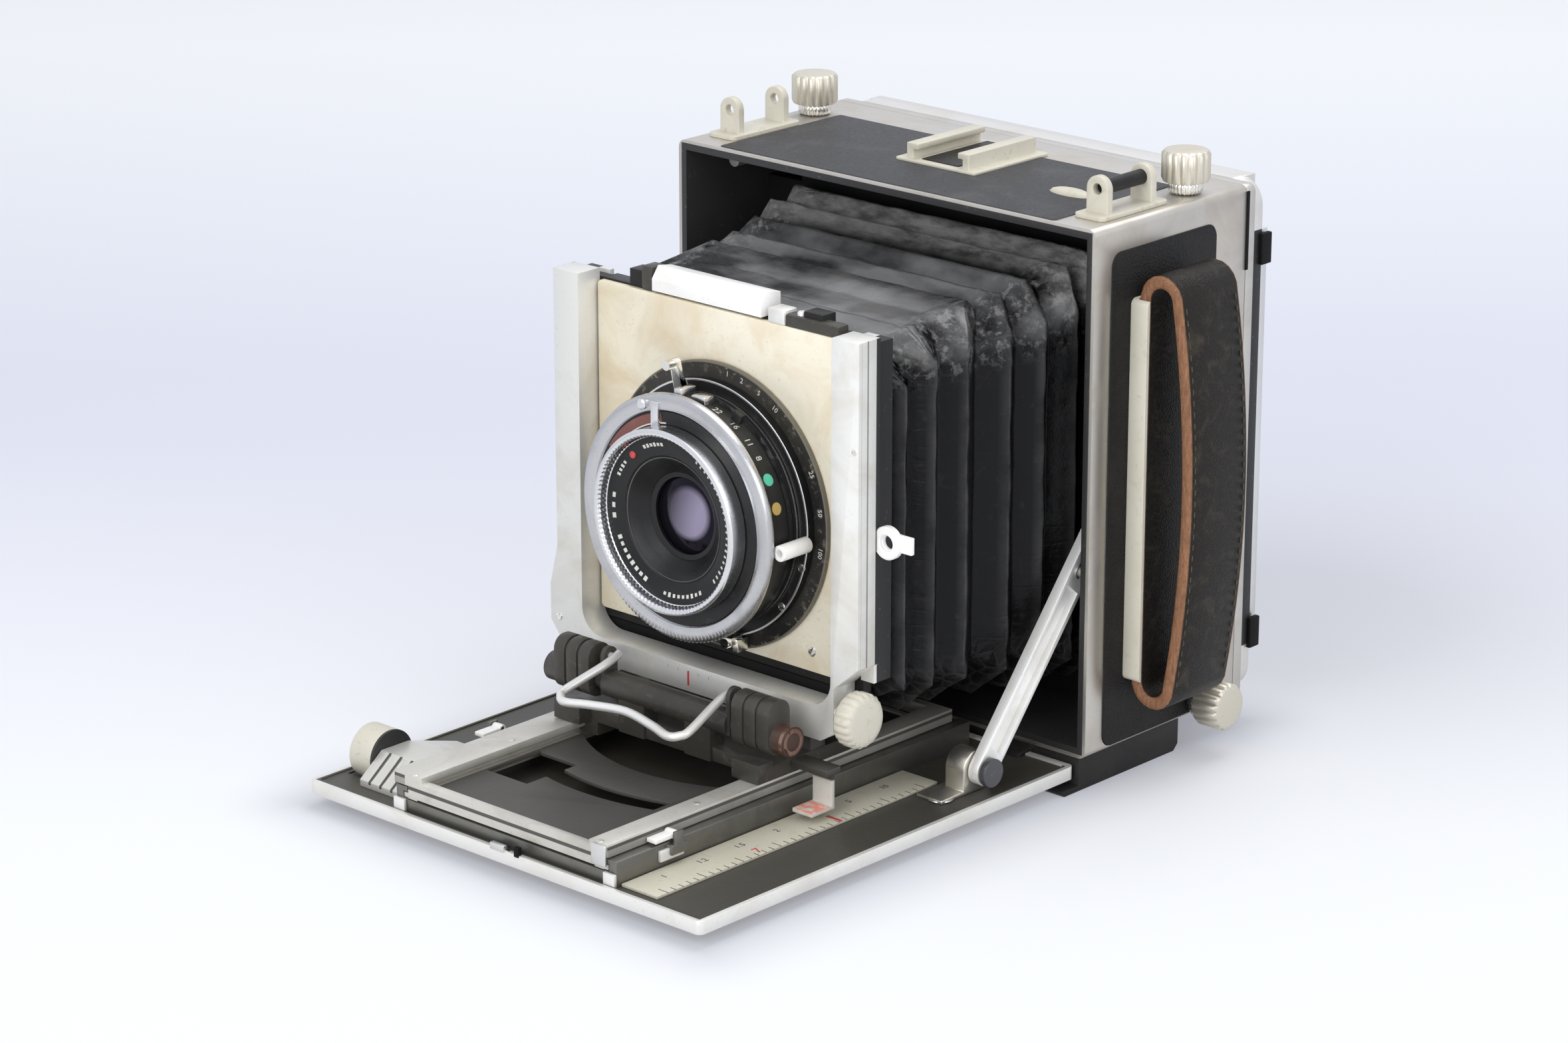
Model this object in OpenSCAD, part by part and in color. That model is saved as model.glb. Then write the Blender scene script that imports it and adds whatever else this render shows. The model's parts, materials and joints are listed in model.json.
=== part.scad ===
// Folding technical camera with a drop bed, a focusing track, front movements and a revolving back.
// It stands on its base block, and the origin is at the tripod socket on the underside.
// X points right as seen from the front, Y from the lens to the back, and Z up.
// The modules draw from the lower front edge of the housing, and placed() moves them to the origin.

/* [Housing] */
// Width of the housing
body_w = 160; // [154:1:170]
// Height of the housing
body_h = 157; // [153:1:165]
// Depth of the housing without its back
body_d = 69; // [66:1:80]
// Thickness of the housing wall
wall = 3; // [2.5:0.5:4]
// Radius of the long edges of the housing
edge_r = 2.5; // [1:0.5:3]
// Metal border in front of and below the side leather
side_border = 7.5; // [5:0.5:10]
// Depth of the pockets that the leather lies in
pocket_t = 0.8; // [0.4:0.1:1.2]
// Thickness of the leather covering
leather_t = 1.1; // [0.8:0.1:1.6]
// Width of the leather on the top
top_leather_w = 116; // [100:1:118]

/* [Base] */
// Distance of the base block's sides inside the sides of the housing
base_inset = 2; // [1:0.5:10]
// Depth of the base block under the housing
base_d = 46; // [40:1:60]
// Height of the base block
base_h = 10; // [9:0.5:16]
// Reach of the thin foot in front of the housing
lip_d = 7.5; // [4:0.5:12]
// Distance of the tripod socket behind the front of the housing
socket_y = 19; // [14:1:30]
// Radius of the tripod socket
socket_r = 4.76; // [3.18:0.01:4.8]
// Outer radius of the tripod bush
bush_r = 8; // [6.5:0.5:10]

/* [Bed] */
// Distance of the bed's sides inside the sides of the housing
bed_inset = 3; // [1:0.5:5]
// Length of the bed
bed_l = 156.5; // [150:0.5:165]
// Thickness of the bed
bed_t = 4; // [3.5:0.5:5]
// Distance of the top of the bed below the housing
bed_drop = 2; // [1.5:0.5:2.5]
// Width of the bright rim of the bed
rim_w = 2.2; // [1.5:0.1:4]
// Radius of the hinge pins of the bed
hinge_r = 1.2; // [1:0.1:1.5]
// Distance of each bed hinge from the middle
hinge_x = 55; // [48:1:58]

/* [Track] */
// Half the distance between the focusing rails
rail_x = 33; // [31:0.5:33.5]
// Width of a focusing rail
rail_w = 7; // [6.5:0.5:7.5]
// Height of the top of the focusing rails above the housing floor line
rail_top = 9; // [8.5:0.5:9.5]
// Gap between the rails and the front edge of the bed
track_inset = 2.9; // [2:0.1:6]
// Radius of the focusing pinion
pinion_r = 2.4; // [2.1:0.1:2.6]
// Radius of the focusing wheel
focus_r = 8; // [5:0.5:8.2]
// Width of the focusing wheel
wheel_w = 9.5; // [6:0.5:9.5]
// Distance of the focusing shaft in front of the housing
focus_y = 137; // [134:1:139]
// Height of the focusing shaft
focus_z = 2.6; // [2.4:0.1:2.7]
// Width of the scale strip
scale_w = 13.4; // [8:0.2:15]
// Length of the scale strip
scale_l = 115; // [90:1:125]

/* [Standard] */
// Distance of the front of the standard from the housing
reach = 74.6; // [70:0.2:78]
// Half the outer width of the standard
post_x = 58.6; // [57:0.2:60]
// Width of a post
post_w = 9.9; // [9:0.1:11]
// Depth of a post
post_d = 9; // [8:0.5:10]
// Height of the top of the posts
post_top = 136; // [128:1:145]
// Radius of the inner corners of the U-shaped frame
u_corner_r = 8; // [6:0.5:8]
// Top of the cross bar of the standard
cross_top = 28; // [26:0.5:29]
// Thickness of the lens board
board_t = 1.8; // [1.4:0.1:2.2]
// Height of the lower edge of the lens board
board_z = 34; // [32:0.5:36]
// Height of the lens board
board_h = 99; // [95:1:102]

/* [Lens and shutter] */
// Height of the lens axis
lens_z = 76; // [74:1:84]
// Radius of the black plate round the shutter
plate_r = 42; // [41:0.5:44]
// Radius of the shutter's flange
flange_r = 37.2; // [36.2:0.1:38]
// Outer radius of the speed ring
ring_r = 36.1; // [35:0.1:36.5]
// Outer radius of the front lens barrel
barrel_r = 27.1; // [26:0.1:28.5]
// Inner radius of the filter thread
filter_r = 24.5; // [23:0.1:24.8]
// Radius of the front glass
glass_r = 12.5; // [9:0.5:14]
// Distance of the barrel's front edge before the front of the standard
barrel_front = 16.8; // [15:0.2:20]

/* [Back] */
// Thickness of the sliding back frame
back_t = 3.7; // [3:0.1:5]
// Thickness of the revolving back behind the frame
revolve_t = 5.3; // [4.5:0.1:8]
// Narrowest rim of the sliding back frame round the revolving joint
joint_rim = 1.5; // [1.5:0.1:2.5]
// Border of the back beside the picture opening
border_w = 19.5; // [18.5:0.5:28]
// Border of the back above and below the picture opening
border_h = 32.5; // [31.5:0.5:38]
// Radius of the back's guide rods
rod_r = 2; // [1.5:0.1:2.1]
// Distance of the guide rods inside the sides of the housing
rod_inset = 8.5; // [8:0.1:9]
// Length of the guide rods in the housing
rod_l = 54; // [48:1:58]
// Radius of a lock knob
knob_r = 7.1; // [5.5:0.1:8]
// Height of a lock knob
knob_h = 9.5; // [7:0.5:12]
// Distance of the lock knobs behind the front of the housing
knob_y = 51; // [47:1:54]

/* [Hand strap] */
// Width of the hand strap
strap_w = 26.8; // [20:0.2:28]
// Thickness of the strap
strap_t = 3.8; // [2.5:0.1:4.2]
// Radius of the round ends of the strap loop
strap_end_r = 7.6; // [6.5:0.1:9]
// Bulge of the strap in its middle
strap_bow = 5; // [0:0.5:6]
// Length of the metal plate in the strap
plate_l = 114; // [100:1:120]
// Thickness of the strap plate
strap_plate_t = 6; // [4:0.5:8]

/* [Bellows] */
// Number of pleats
pleats = 7; // [5:1:10]
// Depth of a pleat
pleat_d = 6.5; // [3:0.5:7]
// Thickness of the bellows leather
bellows_t = 1; // [0.8:0.1:1.5]
// Half the width of the bellows at the back
bellows_back_x = 65; // [60:0.5:66]
// Half the width of the bellows at the front
bellows_front_x = 52; // [48:0.5:53]

/* [Hidden] */
$fn = 48;
fit = 0.06;         // radial clearance of a shaft in its bore
gap = 0.3;          // clearance between pieces that slide past each other
over = 1;           // how far a cutter runs past the face that it cuts
half_w = body_w / 2;
base_w = body_w - 2 * base_inset;
bed_w = body_w - 2 * bed_inset;
rod_x = half_w - rod_inset;
mid_z = body_h / 2;

// Heights of the bed and of what slides on it
bed_top = -bed_drop;
bed_low = bed_top - bed_t;
bed_back = -0.9;
bed_front = bed_back - bed_l;
field_t = 0.5;
field_z = bed_top - field_t;
hinge_y = -3.2;
hinge_z = bed_top - bed_t / 2;
ear_r = 2.9;
ear_w = 10;
track_front = bed_front + track_inset;
track_back = -12;
cap_t = 3.8;
cap_low = rail_top - cap_t;
guide_in = rail_x + rail_w - 1;
guide_out = guide_in + 4.3;
guide_top = cap_low - gap;
floor_top = 4.9;
floor_t = 1;
lip_low = floor_top + 1.9;
flange_z = 1.8;
flange_h = 1.4;
bar_d = 3.1;
fixed_bar_top = 1.2;
rack_x = guide_out + 0.7;
wheel_x = bed_w / 2 - 3.7;

// Carriage, grips and bail
carriage_low = rail_top + gap;
carriage_top = carriage_low + 4;
carriage_ahead = 21.4;
carriage_behind = 26.6;
carriage_front = -reach - carriage_ahead;
carriage_back = -reach + carriage_behind;
carriage_x = rail_x + rail_w + 0.2;
pedestal_top = 17.7;
grip_y = -reach - 13.4;
grip_z = 21.8;
grip_in = 28;
grip_out = 42;
grip_w = 9;
grip_h = 16;
grip_up = 3.2;
shaft_r = 2.5;
lug_in = 23.9;
lug_out = 25.4;
bail_z = 30;
bail_r = 1.3;
bail_pin_r = 1.1;
bail_reach = 22.3;
bail_fall = 7;

// Standard
post_front = -reach;
post_back = post_front + post_d;
u_low = pedestal_top + gap;
bar_low = 20;
plate_front = post_back + 0.4;
plate_t = 3.4;
carrier_x = 52.6;
board_x = post_x - post_w - 0.4;
board_front = plate_front - board_t;
carrier_low = board_z - 3;
carrier_top = board_z + board_h + 0.5;
bellows_front = plate_front + plate_t + 2;
shift_z = 26.5;
shift_y = post_front + 2.6;

// Shutter, from the lens board forwards
plate_y = board_front - 1.6;
flange_y = plate_y - 2.9;
collar_r = 32.4;
release_y = flange_y - gap;
lever_t = 1.7;
cock_y = release_y - lever_t - gap;
aperture_y = cock_y - lever_t - gap;
aperture_t = 7.3;
speed_y = aperture_y - aperture_t - gap;
speed_t = 3;
hub_r = 31;
hub_front = speed_y - speed_t + 0.8;
barrel_y = post_front - barrel_front;
cell_r = 22;
iris_back = flange_y + 0.6;
iris_room = 24.5;
blade_t = 0.2;
blade_step = 0.9;
iris_front = iris_back - 5 * blade_step - 0.4;
pivot_r = 18.5;
iris_pin_r = 0.8;

// Back
back_rim = 1.5;
back_side = min(body_h, body_w - 2 * back_rim);
revolve_r = back_side / 2 - joint_rim;
window_w = back_side - 2 * border_w;
window_h = back_side - 2 * border_h;
pin_x = window_w / 2 + 3;
pin_z = window_h / 2 - 6;
hood_x = window_w / 2 + 7;
back_y = body_d + gap;
revolve_y = back_y + back_t + gap;
revolve_end = revolve_y + revolve_t;
band_low = 15;
band_high = body_h - 15;
glass_frame_y = revolve_end + 0.4;
glass_frame_t = 3.5;
hood_y = glass_frame_y + glass_frame_t + gap;
hood_t = 1.4;
hood_z = mid_z + window_h / 2 + 12;
hood_low = mid_z - window_h / 2 - 10;
hood_pin_r = 1;
glass_pin_r = 1.5;
rod_low = wall + rod_r + 0.4;
rod_high = body_h - wall - rod_r - 3;
guide_y0 = knob_y - 11;
guide_y1 = knob_y + 11;
frame_y = 36;
frame_t = 3;

// Points on a round arc, for outlines
function arc(cx, cy, r, a0, a1, n = 12) =
    [for (i = [0:n]) let (a = a0 + (a1 - a0) * i / n) [cx + r * cos(a), cy + r * sin(a)]];

module placed() translate([0, -socket_y, base_h]) children();

// Extrude a drawing of (x, z) along Y, a drawing of (y, z) along X, or a drawing of (x, y) along Z
module along_y(y0, y1) translate([0, y1, 0]) rotate([90, 0, 0]) linear_extrude(y1 - y0) children();
module along_x(x0, x1) translate([x0, 0, 0]) rotate([90, 0, 90]) linear_extrude(x1 - x0) children();
module along_z(z0, z1) translate([0, 0, z0]) linear_extrude(z1 - z0) children();

module rod_y(r, y0, y1) translate([0, y1, 0]) rotate([90, 0, 0]) cylinder(r = r, h = y1 - y0);
module rod_x(r, x0, x1) translate([x0, 0, 0]) rotate([0, 90, 0]) cylinder(r = r, h = x1 - x0);
module rod_z(r, z0, z1) translate([0, 0, z0]) cylinder(r = r, h = z1 - z0);
module box(x0, x1, y0, y1, z0, z1) translate([x0, y0, z0]) cube([x1 - x0, y1 - y0, z1 - z0]);

module rounded(w, h, r) {
    square([w - 2 * r, h], center = true);
    square([w, h - 2 * r], center = true);
    for (x = [-1, 1], y = [-1, 1]) translate([x * (w / 2 - r), y * (h / 2 - r)]) circle(r);
}

module stadium(w, h) {
    square([w - h, h], center = true);
    for (x = [-1, 1]) translate([x * (w - h) / 2, 0]) circle(h / 2);
}

module mirrored() {
    children();
    mirror([1, 0, 0]) children();
}

// Housing

button_x = 49;
button_y = 27;
button_w = 15;
button_h = 6.4;
button_travel = 1.2;
leather_back = body_d - 14;
top_leather_y0 = 1.8;
top_leather_y1 = body_d - 16;
stud_r = 1.6;

module side_leather_shape(r) {
    z0 = 1.5;
    z1 = body_h - 8;
    translate([(side_border + leather_back) / 2, (z0 + z1) / 2])
        rounded(leather_back - side_border, z1 - z0, r);
}

module guide_holes(r) {
    for (x = [-rod_x, rod_x], z = [rod_low, rod_high]) translate([x, 0, z])
        rod_y(r, guide_y0 - over, guide_y1 + over);
}

module stud_holes(r) {
    for (x = [-rod_x, rod_x]) translate([x, knob_y, 0]) rod_z(r, rod_high + 1, body_h + over);
    translate([0, knob_y, rod_low]) rod_x(r, rod_x + 1, half_w + over);
    translate([0, knob_y, rod_low]) rod_x(r, -half_w - over, -rod_x - 1);
}

module body_shell() placed() color("gainsboro") difference() {
    union() {
        difference() {
            along_y(0, body_d) translate([0, mid_z]) rounded(body_w, body_h, edge_r);
            along_y(-over, body_d + over) translate([0, mid_z])
                square([body_w - 2 * wall, body_h - 2 * wall], center = true);
        }
        mirrored() {
            box(rod_x - 5, half_w - wall / 2, guide_y0, guide_y1, wall / 2, rod_low + rod_r + 2);
            box(rod_x - 5, half_w - wall / 2, guide_y0, guide_y1, rod_high - rod_r - 2,
                body_h - wall / 2);
        }
    }
    mirrored() along_x(half_w - pocket_t, half_w + over) side_leather_shape(4);
    along_z(body_h - pocket_t, body_h + over) translate([0, (top_leather_y0 + top_leather_y1) / 2])
        rounded(top_leather_w, top_leather_y1 - top_leather_y0, 1);
    guide_holes(rod_r + fit);
    stud_holes(stud_r + fit);
    along_z(body_h - 2, body_h + over) translate([button_x, button_y])
        stadium(button_w + 0.6, button_h + 0.6);
    translate([button_x, button_y, 0]) rod_z(stud_r + fit, body_h - wall - over, body_h);
}

module leather_panels() placed() color([0.12, 0.12, 0.12]) {
    difference() {
        mirrored() along_x(half_w - pocket_t, half_w - pocket_t + leather_t) side_leather_shape(4.3);
        translate([0, knob_y, rod_low]) rod_x(stud_r + 1, -half_w - 2, half_w + 2);
    }
    difference() {
        along_z(body_h - pocket_t, body_h - pocket_t + leather_t)
            translate([0, (top_leather_y0 + top_leather_y1) / 2])
            rounded(top_leather_w - 0.4, top_leather_y1 - top_leather_y0 - 0.4, 0.8);
        along_z(body_h - 2, body_h + 2) translate([button_x, button_y])
            stadium(button_w + 0.8, button_h + 0.8);
        along_z(body_h - 2, body_h + 2) shoe_plate();
    }
}

module bed_release_button() placed() color("ivory") {
    head = body_h - 0.5;
    along_z(head, head + 2.3) translate([button_x, button_y]) stadium(button_w, button_h);
    translate([button_x, button_y, 0]) rod_z(stud_r, body_h - wall - 3, head + over);
}

// The block that the camera stands on, with a thin foot and the ears of the bed hinge
module base_block() placed() color([0.1, 0.1, 0.11]) difference() {
    foot_t = 1.7;
    union() {
        along_x(-base_w / 2, base_w / 2) polygon([[-lip_d + 1, -base_h], [base_d - 2, -base_h],
            [base_d, -base_h + 2], [base_d, 0], [0, 0], [0, -base_h + foot_t],
            [-lip_d, -base_h + foot_t], [-lip_d, -base_h + 1]]);
        mirrored() {
            translate([0, hinge_y, hinge_z]) rod_x(ear_r, hinge_x - ear_w / 2, hinge_x + ear_w / 2);
            box(hinge_x - ear_w / 2, hinge_x + ear_w / 2, hinge_y, over, hinge_z - ear_r,
                hinge_z + ear_r);
        }
    }
    translate([0, socket_y, 0]) rod_z(bush_r, -base_h - over, -1.5);
    mirrored() translate([0, hinge_y, hinge_z]) rod_x(hinge_r, hinge_x - 6, hinge_x + 6);
}

module tripod_bush() placed() color("silver") difference() {
    translate([0, socket_y, 0]) rod_z(bush_r, -base_h, -1.5);
    translate([0, socket_y, 0]) rod_z(socket_r, -base_h - over, -2.5);
}

module hinge_pins() placed() color("silver") mirrored() {
    translate([0, hinge_y, hinge_z]) rod_x(hinge_r, hinge_x - 11, hinge_x + 11);
    translate([0, stay_top[0], stay_top[1]]) rod_x(stay_pin_r, stay_in - 1.5, half_w - wall);
}

shoe_w = 30.6;
shoe_y0 = 24;
shoe_y1 = 58;
module shoe_plate() translate([0, (shoe_y0 + shoe_y1) / 2]) rounded(shoe_w, shoe_y1 - shoe_y0, 1);

module accessory_shoe() placed() color("ivory") {
    top = body_h + 1;
    along_z(body_h, top) shoe_plate();
    mirrored() along_y(shoe_y0 + 1.5, shoe_y1 - 2) polygon([[9.4, top - 0.6], [12, top - 0.6],
        [12, top + 4.6], [7.6, top + 4.6], [7.6, top + 2.8], [9.4, top + 2.8]]);
}

lug_x = half_w - 9.5;
lug_y = [13.2, 32.9];
lug_t = 2.5;
lug_hole_r = 1.6;
lug_z = body_h + 8.1;

module strap_lugs() placed() color("ivory") mirrored() {
    along_z(body_h, body_h + 1.3) translate([lug_x, 23]) rounded(11, 30, 2);
    for (y = lug_y) difference() {
        union() {
            translate([lug_x, 0, lug_z]) rod_y(3.8, y - lug_t / 2, y + lug_t / 2);
            box(lug_x - 3.8, lug_x + 3.8, y - lug_t / 2, y + lug_t / 2, body_h + 0.5, lug_z);
        }
        translate([lug_x, 0, lug_z]) rod_y(lug_hole_r, y - 4, y + 4);
    }
}

module lug_rod() placed() color([0.15, 0.15, 0.15])
    translate([lug_x, 0, lug_z]) rod_y(2.2, lug_y[0] + lug_t / 2, lug_y[1] - lug_t / 2);

// Strap plate and hand strap

leather_out = half_w - pocket_t + leather_t;
strap_y = 17.6;
strap_z = mid_z - 1;
tray_wall = 1.3;
tray_floor = 1.4;
strap_x0 = leather_out + tray_floor;

module strap_plate() placed() color("ivory") difference() {
    along_x(leather_out, leather_out + strap_plate_t)
        translate([strap_y + strap_w / 2, strap_z])
        rounded(strap_w + 2 * (gap + tray_wall), plate_l, 2);
    box(strap_x0, leather_out + strap_plate_t + over, strap_y - gap, strap_y + strap_w + gap, 0, body_h);
}

// Outline of the strap loop: a straight inner run, round ends and a bowed outer run
strap_cx = strap_x0 + strap_end_r;
strap_half = plate_l / 2;
function bow_points(r, n = 16) =
    [for (i = [0:n]) let (u = 1 - 2 * i / n) [strap_cx + r + strap_bow * (1 - u * u), u * strap_half]];
function loop_points(r) = concat(arc(strap_cx, strap_half, r, 180, 8), bow_points(r),
    arc(strap_cx, -strap_half, r, -8, -180));

module hand_strap() placed() color([0.1, 0.1, 0.1])
    translate([0, strap_y, strap_z]) rotate([90, 0, 0]) mirror([0, 0, 1])
    linear_extrude(strap_w) difference() {
        polygon(loop_points(strap_end_r));
        polygon(loop_points(strap_end_r - strap_t));
    }

// Bed with its fixed rails

module bed_plate() placed() color([0.25, 0.25, 0.22]) difference() {
    along_z(bed_low, bed_top) translate([0, (bed_back + bed_front) / 2]) rounded(bed_w, bed_l, 2);
    along_z(field_z, bed_top + over) translate([0, (bed_back + bed_front) / 2])
        rounded(bed_w - 2 * rim_w, bed_l - 2 * rim_w, 1);
    mirrored() {
        box(hinge_x - ear_w / 2 - gap, hinge_x + ear_w / 2 + gap, hinge_y - ear_r - 0.4, over,
            bed_low - over, bed_top + over);
        translate([0, hinge_y, hinge_z]) rod_x(hinge_r + fit, hinge_x - 11.5, hinge_x + 11.5);
    }
    box(-4, 4, bed_front + 0.8, bed_front + 2, bed_low - over, bed_top + over);
    box(-wheel_x - gap, -wheel_x + wheel_w + gap, -focus_y - focus_r - 0.6, -focus_y + focus_r + 0.6,
        bed_low - over, bed_top + over);
}

// Infinity stops: distance in front of the housing, inner end and height of each pivot
stop_left = [-100, 56.4, 2.6];
stop_right = [-132, guide_out - 2.8, guide_top + 1.6];
stop_w = 3.6;
stop_pin_r = 0.7;

// The bracket and pin that an infinity stop turns on, with a foot from x0 at height z0
module stop_bracket(s, x0, z0) {
    x1 = s[1] + stop_w;
    box(x0, x1 + 1.3, s[0] - 3, s[0] + 3, z0, s[2] - 2.2);
    box(x1 + 0.2, x1 + 1.3, s[0] - 1.6, s[0] + 1.6, s[2] - 2.4, s[2] + 1.4);
    translate([0, s[0], s[2]]) rod_x(stop_pin_r, s[1] + 0.3, x1 + 0.4);
}

module bed_rails() placed() color("darkgray") difference() {
    union() {
        mirrored() along_y(track_front, -8) polygon([[guide_in, field_z], [guide_out, field_z],
            [guide_out, guide_top], [guide_in, guide_top], [guide_in, flange_z + flange_h + gap],
            [guide_in + 1.5, flange_z + flange_h + gap], [guide_in + 1.5, flange_z - gap],
            [guide_in, flange_z - gap]]);
        box(-guide_in - over, guide_in + over, track_front, track_front + bar_d, field_z,
            fixed_bar_top);
        stop_bracket(stop_right, guide_out - 0.5, 1.5);
        mirror([1, 0, 0]) stop_bracket(stop_left, guide_out - 0.5, field_z);
    }
    box(-guide_out - over, -guide_in + over, -focus_y - 3, -focus_y + 3,
        focus_z - pinion_r - gap, guide_top + over);
}

module infinity_stop(s) {
    x1 = s[1] + stop_w;
    difference() {
        union() {
            translate([0, s[0], s[2]]) rod_x(1.3, s[1], x1);
            box(s[1], x1, s[0] - 8, s[0], s[2] - 0.6, s[2] + 0.6);
        }
        translate([0, s[0], s[2]]) rod_x(stop_pin_r + fit, s[1] - over, x1 + over);
    }
}

module infinity_stop_left() placed() color("white") mirror([1, 0, 0]) infinity_stop(stop_left);
module infinity_stop_right() placed() color("white") infinity_stop(stop_right);

module scale_strip() placed() color("ivory")
    along_z(field_z, field_z + 0.9) translate([guide_out + 0.3, bed_front + 4.4])
    square([scale_w, scale_l]);

// Side stays: a pivot on the bed below, and a slot on a fixed pin in the housing above

stay_foot = [-34.5, 4.5];
stay_top = [6, 54];
stay_r = 2;
stay_pin_r = 1.5;
stay_in = half_w - 11;
stay_t = 3.4;
stay_w = 8.6;
stay_slide = 8;
stay_l = norm(stay_top - stay_foot);
stay_a = atan2(stay_top[1] - stay_foot[1], stay_top[0] - stay_foot[0]);

module stay_pivots() placed() color("silver") mirrored() translate([0, stay_foot[0], 0]) {
    translate([0, 0, stay_foot[1]]) {
        rod_x(5.4, stay_in - 7.6, stay_in - 0.6);
        rod_x(stay_r, stay_in - 1, stay_in + stay_t + 0.6);
        rod_x(4.2, stay_in + stay_t + 0.4, stay_in + stay_t + 2.6);
    }
    box(stay_in - 7.6, stay_in - 0.6, -5.4, 5.4, field_z, stay_foot[1]);
    box(stay_in - 10, stay_in - 0.6, -15, 5.4, field_z, field_z + 1.2);
}

module stay() translate([stay_in, stay_foot[0], stay_foot[1]]) rotate([stay_a, 0, 0]) {
    end = stay_l + stay_slide + 7;
    difference() {
        along_x(0, stay_t) {
            circle(stay_w / 2);
            translate([0, -stay_w / 2]) square([end, stay_w]);
            translate([end, 0]) circle(stay_w / 2);
        }
        along_x(1.2, stay_t + over) translate([stay_w / 2 + 2, -stay_w / 2 + 1.4])
            square([stay_l - 12, stay_w - 2.8]);
        rod_x(stay_r + fit, -over, stay_t + over);
        along_x(-over, stay_t + over) translate([stay_l + stay_slide / 2, 0])
            stadium(stay_slide + 2 * stay_pin_r + 1.6, 2 * stay_pin_r + 1);
    }
}

module stay_right() placed() color("silver") stay();
module stay_left() placed() color("silver") mirror([1, 0, 0]) stay();

// Focusing drive: a wheel outside the rail turns a pinion under the rack of the left rail

module focus_housing() placed() color("silver") difference() {
    x0 = -wheel_x + wheel_w + gap;
    x1 = -rack_x - 0.4;
    along_x(x0, x1) polygon([[-focus_y - 13, field_z], [-focus_y - 13, -0.5],
        [-focus_y - 4.5, focus_z + 3.4], [-focus_y + 6, focus_z + 3.4], [-focus_y + 25, 0.5],
        [-focus_y + 25, field_z]]);
    translate([0, -focus_y, focus_z]) rod_x(stay_r + fit, x0 - over, x1 + over);
    for (i = [1:3]) along_x(x0 + 4.5 * i, x0 + 4.5 * i + 0.9)
        polygon([[-focus_y - 14, -1.2], [-focus_y - 4.8, focus_z + 2.7], [-focus_y - 4.8, focus_z + 4],
        [-focus_y - 14, focus_z + 4]]);
}

module focus_knob() placed() color([0.85, 0.8, 0.7]) translate([0, -focus_y, focus_z]) {
    rod_x(focus_r, -wheel_x, -wheel_x + wheel_w);
    rod_x(stay_r, -wheel_x + wheel_w - over, -guide_in - 1.4);
    rod_x(pinion_r, -guide_out + 0.2, -guide_in - 1.6);
}

// The floor between the rails has a square notch, a curved slot and a round rear edge
module track_floor() {
    arch_y = -48;
    notch_y = track_front + 24.5;
    difference() {
        translate([-rail_x - 2.1, track_front + 1]) square([2 * rail_x + 4.2, 62]);
        translate([0, arch_y]) circle(54);
        translate([-rail_x + 1, notch_y]) square([16, 20]);
        intersection() {
            translate([-rail_x + 1, notch_y]) square([rail_x - 1 + 24, 30]);
            translate([0, arch_y]) difference() {
                circle(76);
                circle(69);
            }
        }
    }
}

module focus_track() placed() color("silver") {
    web_out = guide_in - 0.4;
    mirrored() along_y(track_front, track_back) polygon([[rail_x, lip_low], [rail_x + 2, lip_low],
        [rail_x + 2, flange_z - 0.2], [web_out, flange_z - 0.2], [web_out, flange_z],
        [web_out + 1.6, flange_z], [web_out + 1.6, flange_z + flange_h],
        [web_out, flange_z + flange_h], [web_out, cap_low], [rail_x + rail_w, cap_low],
        [rail_x + rail_w, rail_top], [rail_x, rail_top]]);
    box(-rack_x, -rail_x - rail_w + 0.2, track_front, track_back, focus_z + pinion_r + gap, rail_top);
    box(-rail_x - 3, rail_x + 3, track_front, track_front + bar_d, 2, rail_top - 2);
    box(-rail_x - 3, rail_x + 3, track_back - bar_d, track_back, cap_low, rail_top);
    along_z(floor_top - floor_t, floor_top) track_floor();
}

// Carriage with the squeeze grips and the bail

module carriage() placed() color([0.2, 0.2, 0.2]) {
    runner_x = rail_x - 0.4;
    foot_z = floor_top + gap;
    box(-carriage_x, carriage_x, carriage_front + 6, carriage_back, carriage_low, carriage_top);
    mirrored() {
        along_y(carriage_front + 6, carriage_back) polygon([[runner_x - 5, carriage_low + 1],
            [runner_x - 5, foot_z], [runner_x + 2.1, foot_z], [runner_x + 2.1, lip_low - gap],
            [runner_x, lip_low - gap], [runner_x, carriage_low + 1]]);
        box(30, carriage_x, carriage_front + 1, carriage_front + 7, carriage_low, carriage_low + 5.5);
        box(8, 18, grip_y - 3, grip_y + 3, carriage_low, grip_z);
        difference() {
            union() {
                translate([0, grip_y, bail_z]) rod_x(2.8, lug_in, lug_out);
                box(lug_in, lug_out, grip_y - 2.8, grip_y + 2.8, grip_z - 3, bail_z);
            }
            translate([0, grip_y, bail_z]) rod_x(bail_pin_r + fit, lug_in - over, lug_out + over);
        }
    }
    box(-40, 40, post_front + 1.5, post_back - 1.5, carriage_top - over, pedestal_top);
    box(-24, 24, post_front + 2.4, post_front + 6, pedestal_top - over, pedestal_top + 4);
    translate([0, grip_y, grip_z]) {
        rod_x(4, -lug_in - 0.5, lug_in + 0.5);
        rod_x(shaft_r, -grip_out + 2, grip_out - 2);
    }
}

module focus_pointer() placed() color("lightgray") {
    x0 = guide_out + 2.9;
    x1 = x0 + 7.4;
    y = post_front - 4;
    box(carriage_x, x1, y - 3, y + 3, carriage_low + 1.6, carriage_low + 3.8);
    box(x0, x1, y - 0.6, y + 0.6, field_z + 3.3, carriage_low + 2);
    box(x0, x1, y - 9, y - 0.5, field_z + 3.3, field_z + 4.6);
}

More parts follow.
